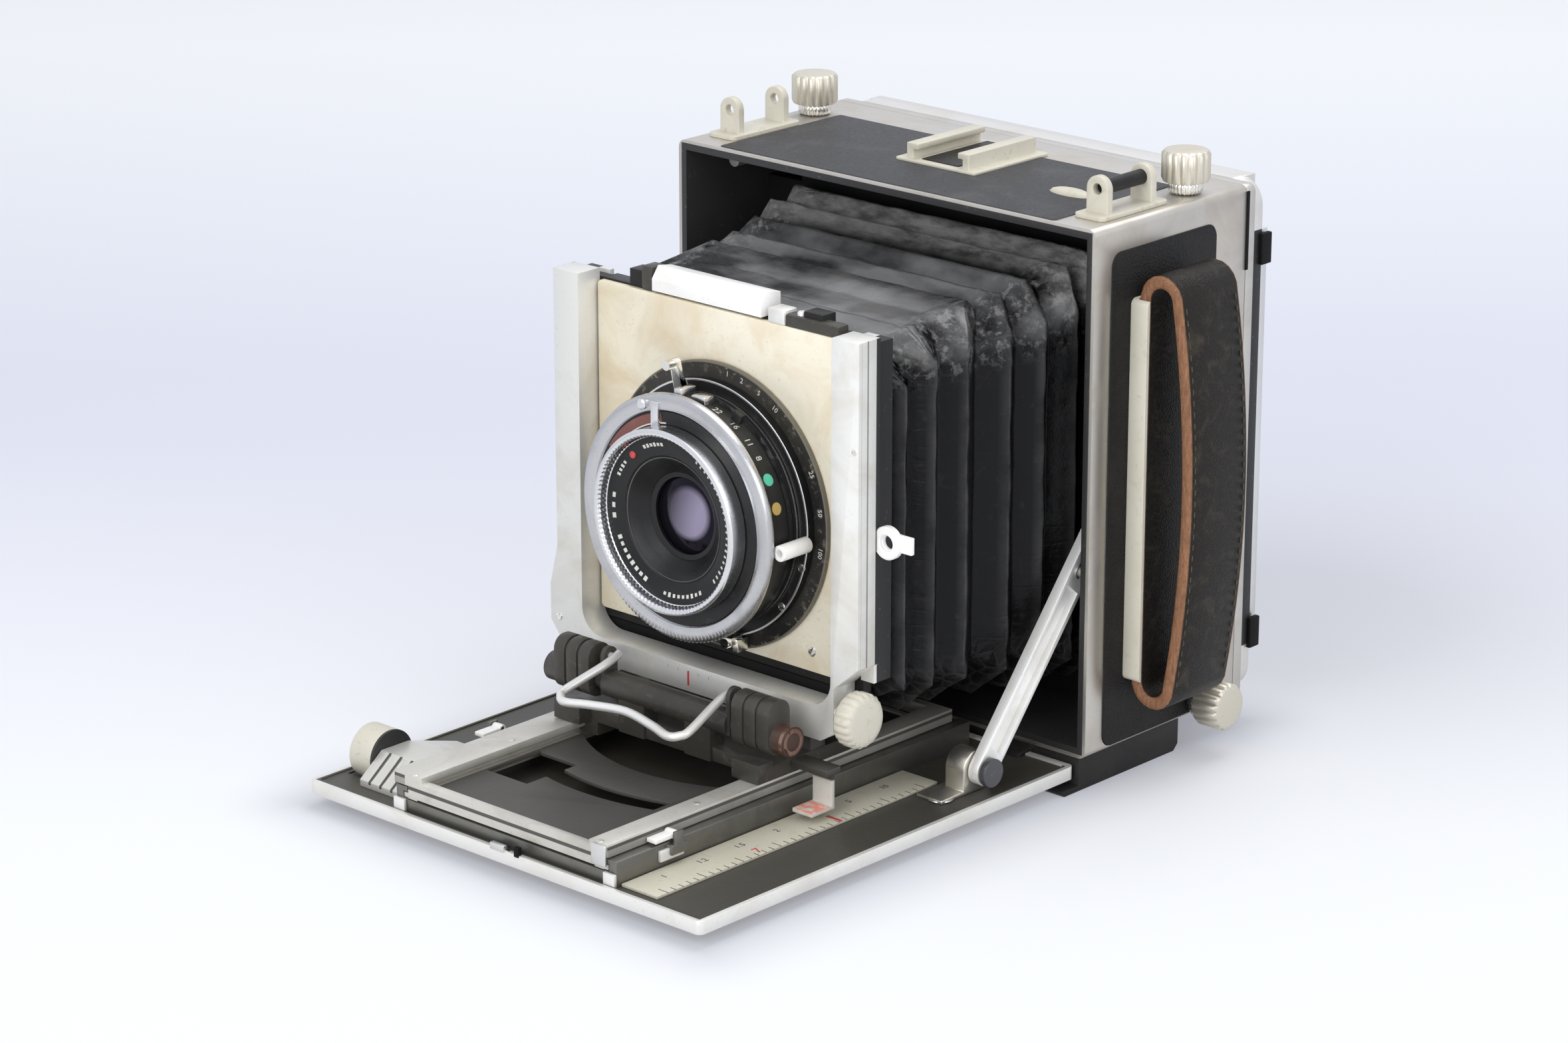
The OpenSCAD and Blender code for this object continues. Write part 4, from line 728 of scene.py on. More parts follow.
# Lock knobs of the back: a bright milled foot and a fluted ivory head
knobSize = {"foot": 5.0, "footHigh": 3.0, "head": 7.1, "high": 12.5, "stud": 1.5, "flutes": 16, "teeth": 26}
knobPlaces = {
    "back_knob_top_left": ((-71.5, 51, 157.3), "up"), "back_knob_top_right": ((71.5, 51, 157.3), "up"),
    "back_knob_low_left": ((-80.6, 51, 5.4), "left"), "back_knob_low_right": ((80.6, 51, 5.4), "right"),
}


def flutes(count, depth, low, high, least):
    # grooves round a knob between two heights
    def shape(r, angle, h):
        if low < h < high and r > least:
            return 1 - depth * (0.5 + 0.5 * math.cos(count * angle)) ** 2
        return 1

    return shape


print("lock knobs")
for name, (at, way) in knobPlaces.items():
    size = knobSize
    low, high = [Vector(corner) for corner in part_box(name)]
    place = spot(*at)
    stud = {"up": place.z - low.z, "right": place.x - low.x, "left": high.x - place.x}[way] / mm
    foot = turned([(0, size["footHigh"] + 0.1), (size["foot"] - 0.3, size["footHigh"] + 0.1),
                   (size["foot"], size["footHigh"] - 0.3), (size["foot"], 0.5), (size["foot"] - 0.4, 0.05),
                   (size["stud"], 0.05), (size["stud"], -stud), (0, -stud)], size["teeth"] * 6,
                  flutes(size["teeth"], 0.05, 0.3, 2.9, 4))
    head = turned([(0, size["high"]), (5.2, size["high"]), (6.3, size["high"] - 0.25),
                   (size["head"], size["high"] - 1.1), (size["head"], 8), (size["head"], 4.3),
                   (6.6, 3.4), (4.2, 3.0), (0, 3.0)], size["flutes"] * 8,
                  flutes(size["flutes"], 0.085, 3.6, 11.9, 6))
    base = newPiece(name + "_foot", put(foot, at, way), knobBase, bodyOf[name], 50)
    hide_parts(name)
    newPiece(name + "_head", put(head, at, way), nickelKnob, bodyOf[name], 50)


# Shift knob of the standard
shiftSize = {"at": (43.5, -72, 26.5), "shaft": 2.0, "collar": 3.0, "head": 8.0, "flutes": 20}
print("shift knob")
size = shiftSize
collar = turned([(0, 10.6), (size["collar"], 10.6), (size["collar"], 7.2), (size["collar"] - 0.3, 6.9),
                 (size["shaft"], 6.8), (size["shaft"], 0), (0, 0)], 40)
stem = newPiece("shift_knob_stem", put(collar, size["at"], "right"), knobBase,
                bodyOf["shift_lock_knob"])
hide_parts("shift_lock_knob")
head = turned([(0, 16.5), (5.6, 16.5), (7.0, 16.3), (size["head"], 15.2), (size["head"], 12.6),
               (size["head"], 11.4), (7.4, 10.7), (2.6, 10.5), (0, 10.5)], size["flutes"] * 8,
              flutes(size["flutes"], 0.06, 10.9, 15.9, 6.9))
newPiece("shift_knob_head", put(head, size["at"], "right"), ivoryEnamel,
         bodyOf["shift_lock_knob"], 50)


# Bed release button: a low cream dome, wider than deep
buttonSize = {"at": (49, 27, 156.5), "half": 7.5, "deep": 3.2, "high": 2.3, "stud": 1.5}
print("release button")
size = buttonSize
low, high = [Vector(corner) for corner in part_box("bed_release_button")]
studEnd = (low.z - spot(*size["at"]).z) / mm
crown = turned([(0, size["high"]), (2.4, size["high"] - 0.06), (4.8, size["high"] - 0.3),
                (6.6, size["high"] - 0.8), (size["half"], size["high"] - 1.6), (size["half"], 0.1), (6.9, 0),
                (1.6, 0)], 64)
bmesh.ops.scale(crown, vec=(1, size["deep"] / size["half"], 1), verts=crown.verts)
pin = turned([(0, 0.4), (size["stud"], 0.4), (size["stud"], studEnd), (0, studEnd)], 24)
button = newPiece("release_button_dome", put(joined([crown, pin]), size["at"]), ivoryEnamel,
                  "release_button")
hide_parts("bed_release_button")


# Bellows: folded leather in five lengths. Each ring gives side y, top y, half of the flat top, top z, side x,
# side top z, side low z and bottom z
bellowsRings = [
    (-59.8, -59.8, 41, 128, 49, 119, 41, 36),
    (-53, -54, 44.5, 128.5, 57.5, 119, 30, 24),
    (-48.5, -49, 43, 129.3, 52.5, 119, 33, 27),
    (-43.5, -42, 47.5, 131.8, 60, 124.5, 29.1, 19),
    (-37, -30, 46.5, 132.6, 54.5, 121, 32, 22),
    (-30.5, -18.7, 48.9, 135.2, 60.5, 128, 28.5, 18),
    (-21.5, -12.6, 47, 130.5, 54.5, 121.5, 31, 21),
    (-12.5, -6.5, 51.7, 135.2, 61, 126, 26.3, 15.8),
    (-6, -1.6, 48, 131.5, 56, 122, 30, 20),
    (0.5, 3.4, 52.3, 137.8, 62.5, 127.5, 24.8, 14),
    (7, 9.6, 50, 133.5, 57, 123, 28, 18),
    (13.8, 15.6, 57.6, 140, 63.5, 128.8, 23, 12.5),
    (20.5, 21.5, 52.5, 135.5, 58, 125, 26.5, 16),
    (27, 27, 58.5, 141.5, 64.5, 131, 21, 11),
    (36, 36, 55, 138.5, 60.5, 127.5, 23.5, 14),
]
bellowsLengths = [
    (0, 2, "shift_frame", "lens_carrier"), (2, 3, "carriage_body", "shift_frame"),
    (3, 6, "track", "carriage_body"), (6, 10, "bed", "track"), (10, 14, "housing", "bed"),
]
bellowsSize = {"gable": 13.0, "edge": 0.9, "skin": 0.7, "crumple": 0.4, "corner": 0.75, "ridge": 1.1,
               "long": 0.03, "short": 0.0045, "overlap": 1.5, "side": 41, "upper": 117, "lower": 34}


def ringPoints(index):
    sideY, topY, flat, topZ, sideX, highZ, lowZ, bottomZ = bellowsRings[index]
    base = sideX - bellowsSize["gable"]
    half = [(sideX, sideY, lowZ), (sideX, sideY, highZ), (flat, topY, topZ)]
    other = [(-x, y, z) for x, y, z in reversed(half)]
    return [spot(*p) for p in half + other + [(-base, sideY, bottomZ), (base, sideY, bottomZ)]]


def makeBellows():
    bm = bmesh.new()
    edges = firstRing(bm, ringPoints(0))
    folds = []
    for step in range(1, len(bellowsRings)):
        edges, faces = nextRing(bm, edges, ringPoints(step - 1), ringPoints(step))
        length = next(k for k, part in enumerate(bellowsLengths) if step <= part[1])
        for face in faces:
            face.material_index = length
        if step < len(bellowsRings) - 1:
            folds += edges
    bmesh.ops.recalc_face_normals(bm, faces=bm.faces)
    soften(bm, folds, bellowsSize["edge"])
    size = bellowsSize
    long = [e for e in bm.edges if e.calc_length() > size["long"]]
    bmesh.ops.subdivide_edges(bm, edges=long, cuts=17, use_grid_fill=True)
    across = [e for e in bm.edges if size["short"] < e.calc_length() < size["long"]]
    bmesh.ops.subdivide_edges(bm, edges=across, cuts=2, use_grid_fill=True)
    bm.normal_update()
    fold = bm.verts.layers.float.new("fold")
    for vert in bm.verts:
        p = vert.co * 1000
        z = p.z - housingLow
        for ring in bellowsRings[1::2]:
            rise = min(max((z - ring[5]) / (ring[3] - ring[5]), 0), 1)
            away = abs(p.y + housingFront - ring[0] - (ring[1] - ring[0]) * rise)
            vert[fold] = max(vert[fold], 1 - away / size["ridge"])
        if vert.is_boundary:
            continue
        corner = abs(p.x) > size["side"] and (z > size["upper"] or z < size["lower"])
        push = noise.noise(p * 0.07) * 1.1 + noise.noise(p * 0.2 + Vector((9, 3, 1))) * 0.5
        if corner:
            push = push * 0.5 + noise.noise(p * 0.24 + Vector((2, 8, 5))) * size["corner"] / size["crumple"]
        vert.co += vert.normal * push * size["crumple"] * mm
    return bm


print("bellows")
wholeBellows = makeBellows()
for index, (first, last, rear, front) in enumerate(bellowsLengths):
    bm = wholeBellows.copy()
    bmesh.ops.delete(bm, geom=[f for f in bm.faces if f.material_index != index], context="FACES")
    for face in bm.faces:
        face.material_index = 0
    piece = newPiece("bellows_length_%d" % (index + 1), bm, bellowsLeather, None, 60)
    shell = piece.modifiers.new("leather", "SOLIDIFY")
    shell.thickness = bellowsSize["skin"] * mm
    shell.offset = -1
    bpy.context.view_layer.update()
    done = bpy.data.meshes.new_from_object(piece.evaluated_get(bpy.context.evaluated_depsgraph_get()))
    piece.modifiers.clear()
    piece.data = done
    startY = min(bellowsRings[last][:2]) - bellowsSize["overlap"]
    endY = max(bellowsRings[first][:2]) + bellowsSize["overlap"]
    tuple(spot(0, startY, 80))
    tuple(spot(0, endY, 80))
    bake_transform(piece)
    if index == 0:
        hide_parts("bellows")
wholeBellows.free()


# Hand strap: a loop of thick leather with rounded edges and stitching round the plate
strapSize = {"x": 81.7, "radius": 7.6, "thick": 3.8, "bow": 5.0, "half": 57.0, "z": 77.5, "y": 17.6,
             "wide": 26.8, "stitch": 3.2, "inset": 2.2, "round": 1}


def strapPoint(part, u):
    # x and z on the middle line of the loop: inner run, upper turn, outer run or lower turn
    size = strapSize
    middle = size["x"] + size["radius"]
    inner = size["radius"] - size["thick"] / 2
    if part == "inner":
        return middle - inner, size["z"] + (2 * u - 1) * size["half"] * 0.98
    if part == "outer":
        return middle + inner + size["bow"] * (1 - (1 - 2 * u) ** 2), size["z"] + (1 - 2 * u) * size["half"]
    side = 1 if part == "upper" else -1
    a = math.radians(180 - 172 * u) if part == "upper" else math.radians(-8 - 172 * u)
    return middle + inner * math.cos(a), size["z"] + side * size["half"] + inner * math.sin(a)


def strapPath():
    steps = [("inner", k / 13) for k in range(14)] + [("upper", (k + 0.5) / 9) for k in range(9)]
    steps += [("outer", (k + 0.5) / 25) for k in range(25)] + [("lower", (k + 0.5) / 9) for k in range(9)]
    line = [Vector(strapPoint(*step)) for step in steps]
    middleY = strapSize["y"] + strapSize["wide"] / 2
    path = []
    for k, here in enumerate(line):
        along = (line[(k + 1) % len(line)] - line[k - 1]).normalized()
        path.append((spot(here.x, middleY, here.y), Vector((0, 1, 0)), Vector((-along.y, 0, along.x))))
    return path


print("strap")
half, thick, cut = strapSize["wide"] / 2, strapSize["thick"] / 2, strapSize["round"]
strapSection = [(cut - half, -thick), (half - cut, -thick), (half, cut - thick), (half, thick - cut),
                (half - cut, thick), (cut - half, thick), (-half, thick - cut), (-half, cut - thick)]
strapMesh = swept(strapPath(), strapSection, True)
strap = newPiece("leather_strap", strapMesh, strapLeather, "housing", 60)
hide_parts("hand_strap")
stitches = []
count = int(2 * strapSize["half"] / strapSize["stitch"])
for k in range(count):
    u = (k + 0.5) / count
    x, z = strapPoint("outer", u)
    ahead = Vector(strapPoint("outer", u + 0.01)) - Vector((x, z))
    lean = math.atan2(ahead.x, ahead.y)
    for edge in (-1, 1):
        y = strapSize["y"] + half + edge * (half - strapSize["inset"])
        one = turned([(0, 0.95), (0.16, 0.8), (0.24, 0.4), (0.24, -0.4), (0.16, -0.8), (0, -0.95)], 6)
        bmesh.ops.rotate(one, cent=(0, 0, 0), matrix=Matrix.Rotation(lean, 3, "Y"), verts=one.verts)
        stitches.append(put(one, (x + thick + 0.02, y, z)))
newPiece("strap_stitches", stitches, threadCream, "housing", 60)


# Bail handle: bent wire between the grips, hanging forwards over the track
bailSize = {"pivot": (0, -88, 30), "reach": 22.3, "fall": 7.0, "wire": 1.3, "pin": 1.1, "pinEnd": 25.3,
            "half": [(22.3, -2), (22.3, 5), (24.4, 18.4), (23.4, 21.8), (20, 23.4), (12, 21.4), (0, 19.4)]}


def smoothLine(points, cuts):
    # a soft curve through the points
    line = []
    for k in range(len(points) - 1):
        p0, p1, p2, p3 = [Vector(points[max(0, min(len(points) - 1, k + d))]) for d in (-1, 0, 1, 2)]
        for c in range(cuts):
            t = c / cuts
            line.append(0.5 * (2 * p1 + (p2 - p0) * t + (2 * p0 - 5 * p1 + 4 * p2 - p3) * t * t
                               + (3 * p1 - p0 - 3 * p2 + p3) * t ** 3))
    return line + [Vector(points[-1])]


def wirePath(points, toSpace, out):
    line = smoothLine(points, 6)
    path = []
    for k, here in enumerate(line):
        along = toSpace(line[min(k + 1, len(line) - 1)]) - toSpace(line[max(k - 1, 0)])
        path.append((toSpace(here), along.cross(out).normalized(), out))
    return path


def bailSpace(p):
    size = bailSize
    reach = Vector((0, -size["reach"], -size["fall"])).normalized()
    x, y, z = size["pivot"]
    return spot(x + p.x, y + reach.y * p.y, z + reach.z * p.y)


print("bail handle")
bailOut = Vector((0, bailSize["fall"], -bailSize["reach"])).normalized()
wholeBail = bailSize["half"] + [(-x, a) for x, a in reversed(bailSize["half"][:-1])]
wire = [(bailSize["wire"] * math.cos(math.radians(a)), bailSize["wire"] * math.sin(math.radians(a)))
        for a in range(0, 360, 30)]
parts = [swept(wirePath(wholeBail, bailSpace, bailOut), wire)]
for side, way in ((1, "right"), (-1, "left")):
    rod = turned([(0, bailSize["pinEnd"]), (bailSize["pin"], bailSize["pinEnd"]), (bailSize["pin"], 22),
                  (0, 22)], 24)
    parts.append(put(rod, bailSize["pivot"], way))
bail = newPiece("bail_wire", parts, frameSilver, "bail", 50)
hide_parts("bail_handle")


# Lens: heights count forwards from the front plane of the housing, so y = -height
lensSize = {"rim": 27.1, "front": 91.4, "seat": 85.95, "thread": 24.6, "marks": 17.6, "hole": 11.3}


def onLens(bm):
    return put(bm, (0, 0, lensHigh), "front")


def rimTeeth(r, angle, h):
    if r < 25.3 and 88.5 < h < 91.2:
        return 1 + 0.006 * math.cos(110 * angle)
    return 1


print("front lens")
size = lensSize
rim = turned([(24.1, 88.2), (size["thread"], 88.5), (size["thread"], 89.3), (size["thread"] + 0.15, 90.2),
              (25.0, 91.0), (25.5, size["front"]), (26.5, size["front"]), (size["rim"], 90.9),
              (size["rim"], size["seat"]), (22.2, size["seat"]), (22.2, 86.8), (24.1, 86.8),
              (24.1, 88.2)], 440, rimTeeth)
newPiece("front_lens_rim", onLens(rim), brightRim, "lens_carrier")
funnel = turned([(24.3, 88.35), (24.0, 88.4), (18.6, 87.0), (18.2, 86.6), (17.9, 86.6), (size["marks"], 86.3),
                 (15.2, 84.6), (14.9, 84.1), (13.0, 82.9), (12.7, 82.4), (size["hole"], 81.9),
                 (size["hole"], 80.9), (12.6, 80.7), (12.6, 75.0), (21.9, 75.0), (21.9, 86.7), (24.3, 86.7),
                 (24.3, 88.35)], 180)
cell = newPiece("front_lens_funnel", onLens(funnel), lensBlack, "lens_carrier", 30)
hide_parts("front_lens_cell")
line = turned([(17.75, 86.2), (17.75, 86.68), (18.05, 86.72), (18.05, 86.2)], 120)
newPiece("lens_inner_line", onLens(line), markDark, "lens_carrier", 60)


def dome(radius, rimHeight, top, back):
    # a lens element from its axis to its rim and back
    steps = 6
    points = [(radius * k / steps, rimHeight + (top - rimHeight) * (1 - (k / steps) ** 2))
              for k in range(steps + 1)]
    return points + [(radius, back), (0, back)]


frontElement = newPiece("front_glass", onLens(turned(dome(12.3, 80.3, 82.6, 78.6), 96)), frontGlass,
                        "lens_carrier")
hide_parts("lens_glass")
rearElement = turned(dome(13.7, 1.6, 3.4, 0), 72)
newPiece("rear_glass", put(rearElement, (0, -54.8, lensHigh), "back"), rearGlass, "lens_carrier")


def ringMark(radius, angle, height, long, wide):
    # a small raised dash that follows a circle round the lens
    thick, tilt = 0.2, -0.25
    bm = bmesh.new()
    bmesh.ops.create_cube(bm, size=1, matrix=Matrix.Diagonal((wide * mm, long * mm, thick * mm, 1)))
    bmesh.ops.rotate(bm, cent=(0, 0, 0), matrix=Matrix.Rotation(tilt, 3, "Y"), verts=bm.verts)
    bmesh.ops.translate(bm, vec=(radius * mm, 0, height * mm), verts=bm.verts)
    around = Matrix.Rotation(math.radians(angle), 3, "Z")
    bmesh.ops.rotate(bm, cent=(0, 0, 0), matrix=around, verts=bm.verts)
    return onLens(bm)


# Plain dashes in groups round the face of the lens, and a red dot. A group has its first and last
# angle, the number of dashes, their length and the radius
dashGroups = [(96, 118, 6, 0.9, 22.0), (140, 156, 4, 0.8, 22.0), (168, 192, 3, 1.5, 22.0),
              (202, 246, 8, 1.2, 21.6), (262, 304, 9, 0.9, 22.0), (318, 424, 22, 0.6, 22.0)]
dashes = []
for low, high, number, long, radius in dashGroups:
    for k in range(number):
        angle = low + (high - low) * (k + 0.5) / number
        dashes.append(ringMark(radius, angle, 87.9, long, random.uniform(0.9, 1.4)))
newPiece("lens_ring_dashes", dashes, markWhite, "lens_carrier", 60)
dot = turned([(0, 0.35), (0.9, 0.3), (1.15, 0.1), (1.15, -0.2), (0, -0.2)], 20)
newPiece("lens_red_dot", put(dot, (-14.4, -87.9, 92.4), "front"), redPaint, "lens_carrier", 60)


# Shutter: satin speed ring with a milled part below, window arc, drum numbers and small marks
shutterSize = {"ring": 36.1, "inner": 31.0, "back": 83.4, "front": 86.4, "drum": 34.2}


def milledBelow(r, angle, h):
    degrees = math.degrees(angle)
    if r > 34.5 and 83.7 < h < 86.2 and -140 < degrees < -55:
        return 1 - 0.012 * (0.5 + 0.5 * math.cos(150 * angle))
    return 1


print("shutter")
size = shutterSize
speed = turned([(size["inner"] + 0.05, size["back"]), (size["inner"] + 0.05, 85.5), (31.5, 86.0),
                (33.0, size["front"]), (35.0, size["front"] - 0.1), (35.8, 85.9), (size["ring"], 85.2),
                (size["ring"], 84.0), (35.7, size["back"]), (size["inner"] + 0.05, size["back"])], 600,
               milledBelow)
speedRing = newPiece("speed_ring_turned", onLens(speed), chromeRing, "speed_dial", 30)
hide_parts("speed_ring")


def outwards(angle):
    # away from the lens axis, at an angle in degrees from the right
    a = math.radians(angle)
    return Vector((math.cos(a), 0, math.sin(a)))


def arcBand(radius, width, low, high, heightLow, heightTop):
    # a flat band that follows part of a circle on the lens axis
    steps = 24
    centre = spot(0, -(heightLow + heightTop) / 2, lensHigh)
    path = []
    for k in range(steps + 1):
        out = outwards(low + (high - low) * k / steps)
        path.append((centre + out * radius * mm, out, Vector((0, -1, 0))))
    w, d = width / 2, (heightTop - heightLow) / 2
    return swept(path, [(-w, -d), (w, -d), (w, d), (-w, d)])


newPiece("shutter_window", arcBand(29.2, 2.6, 100, 148, 85.5, 85.75), windowRed,
         "lens_carrier")
newPiece("shutter_window_frame", arcBand(27.65, 0.4, 97, 151, 85.5, 85.85), markWhite,
         "lens_carrier")


def onDrum(bm, radius, angle, height):
    # text or a mark laid on the drum, its top towards the camera back
    out = outwards(angle)
    right = Vector((out.z, 0, -out.x))
    turn = Matrix((right, Vector((0, 1, 0)), out)).transposed().to_4x4()
    here = Matrix.Translation(spot(0, -height, lensHigh) + out * radius * mm)
    bmesh.ops.transform(bm, matrix=here @ turn, verts=bm.verts)
    return bm


drumNumbers = [("32", 84), ("22", 72), ("16", 60), ("11", 49), ("8", 40)]
numbers = [onDrum(digits(text, 3.0), size["drum"] + 0.02, angle, 79.6) for text, angle in drumNumbers]
newPiece("aperture_numbers", numbers, markWhite, "aperture_dial")
for name, angle, paint in (("green_dot", 29, greenPaint), ("yellow_dot", 15, yellowPaint)):
    spotMark = turned([(0, 0.3), (1.2, 0.28), (1.75, 0.15), (1.9, -0.3), (0, -0.3)], 24)
    newPiece("aperture_" + name, onDrum(spotMark, size["drum"], angle, 79.7), paint,
             "aperture_dial", 50)


plateNumbers = {"radius": 39.7, "front": -68.62, "high": 2.2}
plateMarks = []
for text, angle in (("1", 84), ("2", 76), ("5", 66), ("10", 56), ("25", 25), ("50", 9), ("100", -8)):
    x = plateNumbers["radius"] * math.cos(math.radians(angle))
    z = lensHigh + plateNumbers["radius"] * math.sin(math.radians(angle))
    mark = digits(text, plateNumbers["high"])
    plateMarks.append(put(mark, (x, plateNumbers["front"], z), "front", angle - 90))
newPiece("plate_numbers", plateMarks, markWhite, "lens_carrier")

# The small works at the top of the shutter and the catch at its foot
pivot = onLens(turned([(0, 87.7), (1.2, 87.6), (1.6, 87.2), (1.6, 86.2), (0, 86.2)], 24))
bmesh.ops.translate(pivot, vec=(-11.6 * mm, 0, 31.6 * mm), verts=pivot.verts)
works = [pivot, block((-3.4, -82.6, 108.6), (-0.6, -76.2, 113.0), 0.5),
         block((-8.4, -86.9, 101.2), (-5.4, -85.4, 109.4), 0.4),
         block((2.2, -81.6, 109.2), (7.6, -77.4, 112.0), 0.6)]
newPiece("shutter_top_works", works, brightRim, "lens_carrier")
foot = [block((8.8, -76.4, 38.6), (12.6, -71.6, 41.0), 0.4),
        block((11.4, -74.6, 36.2), (13.4, -70.2, 40.2), 0.4)]
newPiece("shutter_foot_catch", foot, knobBase, "lens_carrier")
screws = [screw((x, -71.5, z), 1.3, "front", 0.35, angle) for x, z, angle in
          ((-34.6, 84, 20), (-32.0, 63, 70), (34.9, 66, 40), (27.5, 52.8, 10))]
newPiece("shutter_screws", screws, knobBase, "lens_carrier")


# Lens board, standard and latch details
print("standard details")
screws = [screw((35, -67.0, 40), 1.5, "front", 0.4, 50), screw((-36, -67.0, 40), 1.5, "front", 0.4, 15)]
newPiece("board_screws", screws, knobBase, "lens_carrier")
screws = [screw((-58.2, -74.6, 30.5), 1.2, "front", 0.35, 35),
          screw((57.2, -74.6, 105), 0.9, "front", 0.3, 10)]
newPiece("standard_screws", screws, knobBase, "shift_frame")
newPiece("centre_mark", block((-6.35, -74.75, 21.8), (-5.65, -74.5, 26.2), 0.05, 1), redPaint,
         "shift_frame")
ticks = [block((x - 0.1, -74.66, 25.4), (x + 0.1, -74.5, 26.4), 0.02, 1) for x in range(-14, 5, 4)]
newPiece("shift_ticks", ticks, markFaint, "shift_frame")
trim = [block((20, -66.6, 132.6), (44, -62.0, 136.4), 0.7),
        block((-31.5, -66.4, 133.0), (-27.2, -60.6, 140.2), 0.8)]
newPiece("latch_blocks", trim, gripBlack, "lens_carrier")
pins = [block((18.0, -67.2, 132.8), (24.5, -61.4, 137.4), 0.8),
        put(turned([(0, 1.2), (1.0, 1.1), (1.3, 0.7), (1.3, -0.5), (0, -0.5)], 20), (28.5, -64.3, 136.4))]
newPiece("latch_end", pins, frameSilver, "lens_carrier")
ring = turned([(36.8, 0), (37.3, 0), (37.45, 0.2), (37.3, 0.4), (36.9, 0.4), (36.8, 0.2), (36.8, 0)], 120)
newPiece("shutter_rim_line", put(ring, (0, -71.3, lensHigh), "front"), satinSilver, "lens_carrier")
# a matt black sheet fills the gap under the board with painted shade
gapShadeSheet = block((-51.5, -64.8, 24.5), (51.5, -62.9, 30.6), 0.2)
newPiece("gap_shade_sheet", gapShadeSheet, mattBlack, "shift_frame")
collar = turned([(2.3, 0), (4.5, 0), (4.8, 0.3), (4.8, 1.9), (4.4, 2.3), (2.7, 2.3), (2.3, 1.9),
                 (2.3, 0)], 48)
newPiece("cable_lug_collar", put(collar, (61.8, -64.4, 78), "front"), whiteEnamel,
         "shift_frame")
grip = turned([(2.2, -0.6), (4.0, -0.6), (4.42, -0.2), (4.42, 0.9), (3.9, 1.4), (2.7, 1.4), (2.2, 0.9),
               (2.2, -0.6)], 48)
newPiece("grip_end_ring", put(grip, (45.6, -88, 21.8), "right"), copperRing, "right_grip")


# Bed: scale marks, screws, catch and tabs, feet of the stays and the leather under the plate
print("bed details")
scaleSize = {"right": 57.2, "top": -1.58, "low": -149.0, "high": -44.0, "ticks": 35, "group": 5, "line": 0.14}


def onScale(count):
    # y of a mark on the scale, counted in ticks from its front end
    return scaleSize["low"] + (scaleSize["high"] - scaleSize["low"]) * count / scaleSize["ticks"]


size = scaleSize
ticks = []
for k in range(size["ticks"] + 1):
    y = onScale(k)
    wide = 3.6 if k % size["group"] == 0 else 2.0
    ticks.append(block((size["right"] - wide, y - size["line"], size["top"] - 0.1),
                       (size["right"], y + size["line"], size["top"] + 0.03), 0.02, 1))
for k, text in enumerate(["1", "1.2", "1.5", "2", "3", "5", "10"]):
    y = onScale(size["group"] * (k + 0.5))
    ticks.append(put(digits(text, 3.0), (48.6, y, size["top"] - 0.02), "up", 90))
newPiece("scale_marks", ticks, markDark, "bed")
reds = [put(digits("7", 4.6), (54.6, -110.8, size["top"] - 0.01), "up", 90),
        block((51.4, -79.5, size["top"] - 0.1), (57.0, -78.4, size["top"] + 0.04), 0.03, 1)]
newPiece("scale_red_marks", reds, redPaint, "bed")
under = block((-73.5, -153.5, -7.05), (73.5, -8.5, -6.55), 0.25)
newPiece("bed_leather", under, sideLeather, "bed")
screws = [screw((side * 36.4, y, 9.0), 1.1, "up", 0.2, 30 + y) for side in (1, -1) for y in (-153.6, -116)]
newPiece("track_screws", screws, railSilver, "track")
newPiece("bed_catch", block((-2.6, -157.9, -2.6), (3.0, -156.2, -0.5), 0.4), satinSilver, "bed")
newPiece("bed_catch_stop", block((6.8, -157.8, -2.6), (8.6, -156.2, 0.4), 0.3), mattBlack,
         "bed")
newPiece("guide_ends", twins(41.3, 2.2, (-155.7, -2.8), (-154.6, 1.5), 0.3), frameSilver, "bed")
newPiece("track_end", block((34.2, -155.3, 2.6), (39.8, -154.55, 8.6), 0.35), satinSilver, "track")
newPiece("guide_tabs", twins(43.9, 0.6, (-138.6, 0.2), (-129.2, 3.6), 0.4), frameSilver, "bed")
foot = turned([(0, 0.5), (2.6, 0.5), (3.6, 0.3), (3.8, 0), (0, 0)], 40)
# a black disc of painted shade stands for the bore in each foot
boreShade = turned([(0, 0.56), (1.7, 0.56), (1.7, 0.3), (0, 0.3)], 32)
for side in (1, -1):
    place = (side * 65.2, -46.2, -2.1)
    tag = "right" if side > 0 else "left"
    newPiece("pivot_foot_" + tag, put(foot.copy(), place), pivotMetal, "bed")
    newPiece("pivot_foot_bore_shade_" + tag, put(boreShade.copy(), place), mattBlack, "bed")
foot.free()
boreShade.free()


# Back: clips over its sides, the dark floor of the accessory shoe, and black strips of painted shade in the
# gaps beside the back
print("back details")
clips = [block((side * 78.9 - 0.9, 77.4, low), (side * 78.9 + 0.9, 82.0, high), 0.4)
         for side in (1, -1) for low, high in ((131.6, 141.0), (13.6, 23.0))]
newPiece("back_clips", clips, mattBlack, "rotator")
shoeFloor = block((-7.0, 26.5, 158.0), (7.0, 56.0, 158.3), 0.1, 1)
newPiece("shoe_floor", shoeFloor, blackEnamel, "housing")
# black strips of painted shade in the gaps beside the back
gapShadeStrips = twins(80.15, 0.25, (68.9, 132), (70.0, 155.4), 0.1, 1)
newPiece("back_gap_shade_strips", gapShadeStrips, mattBlack, "housing")


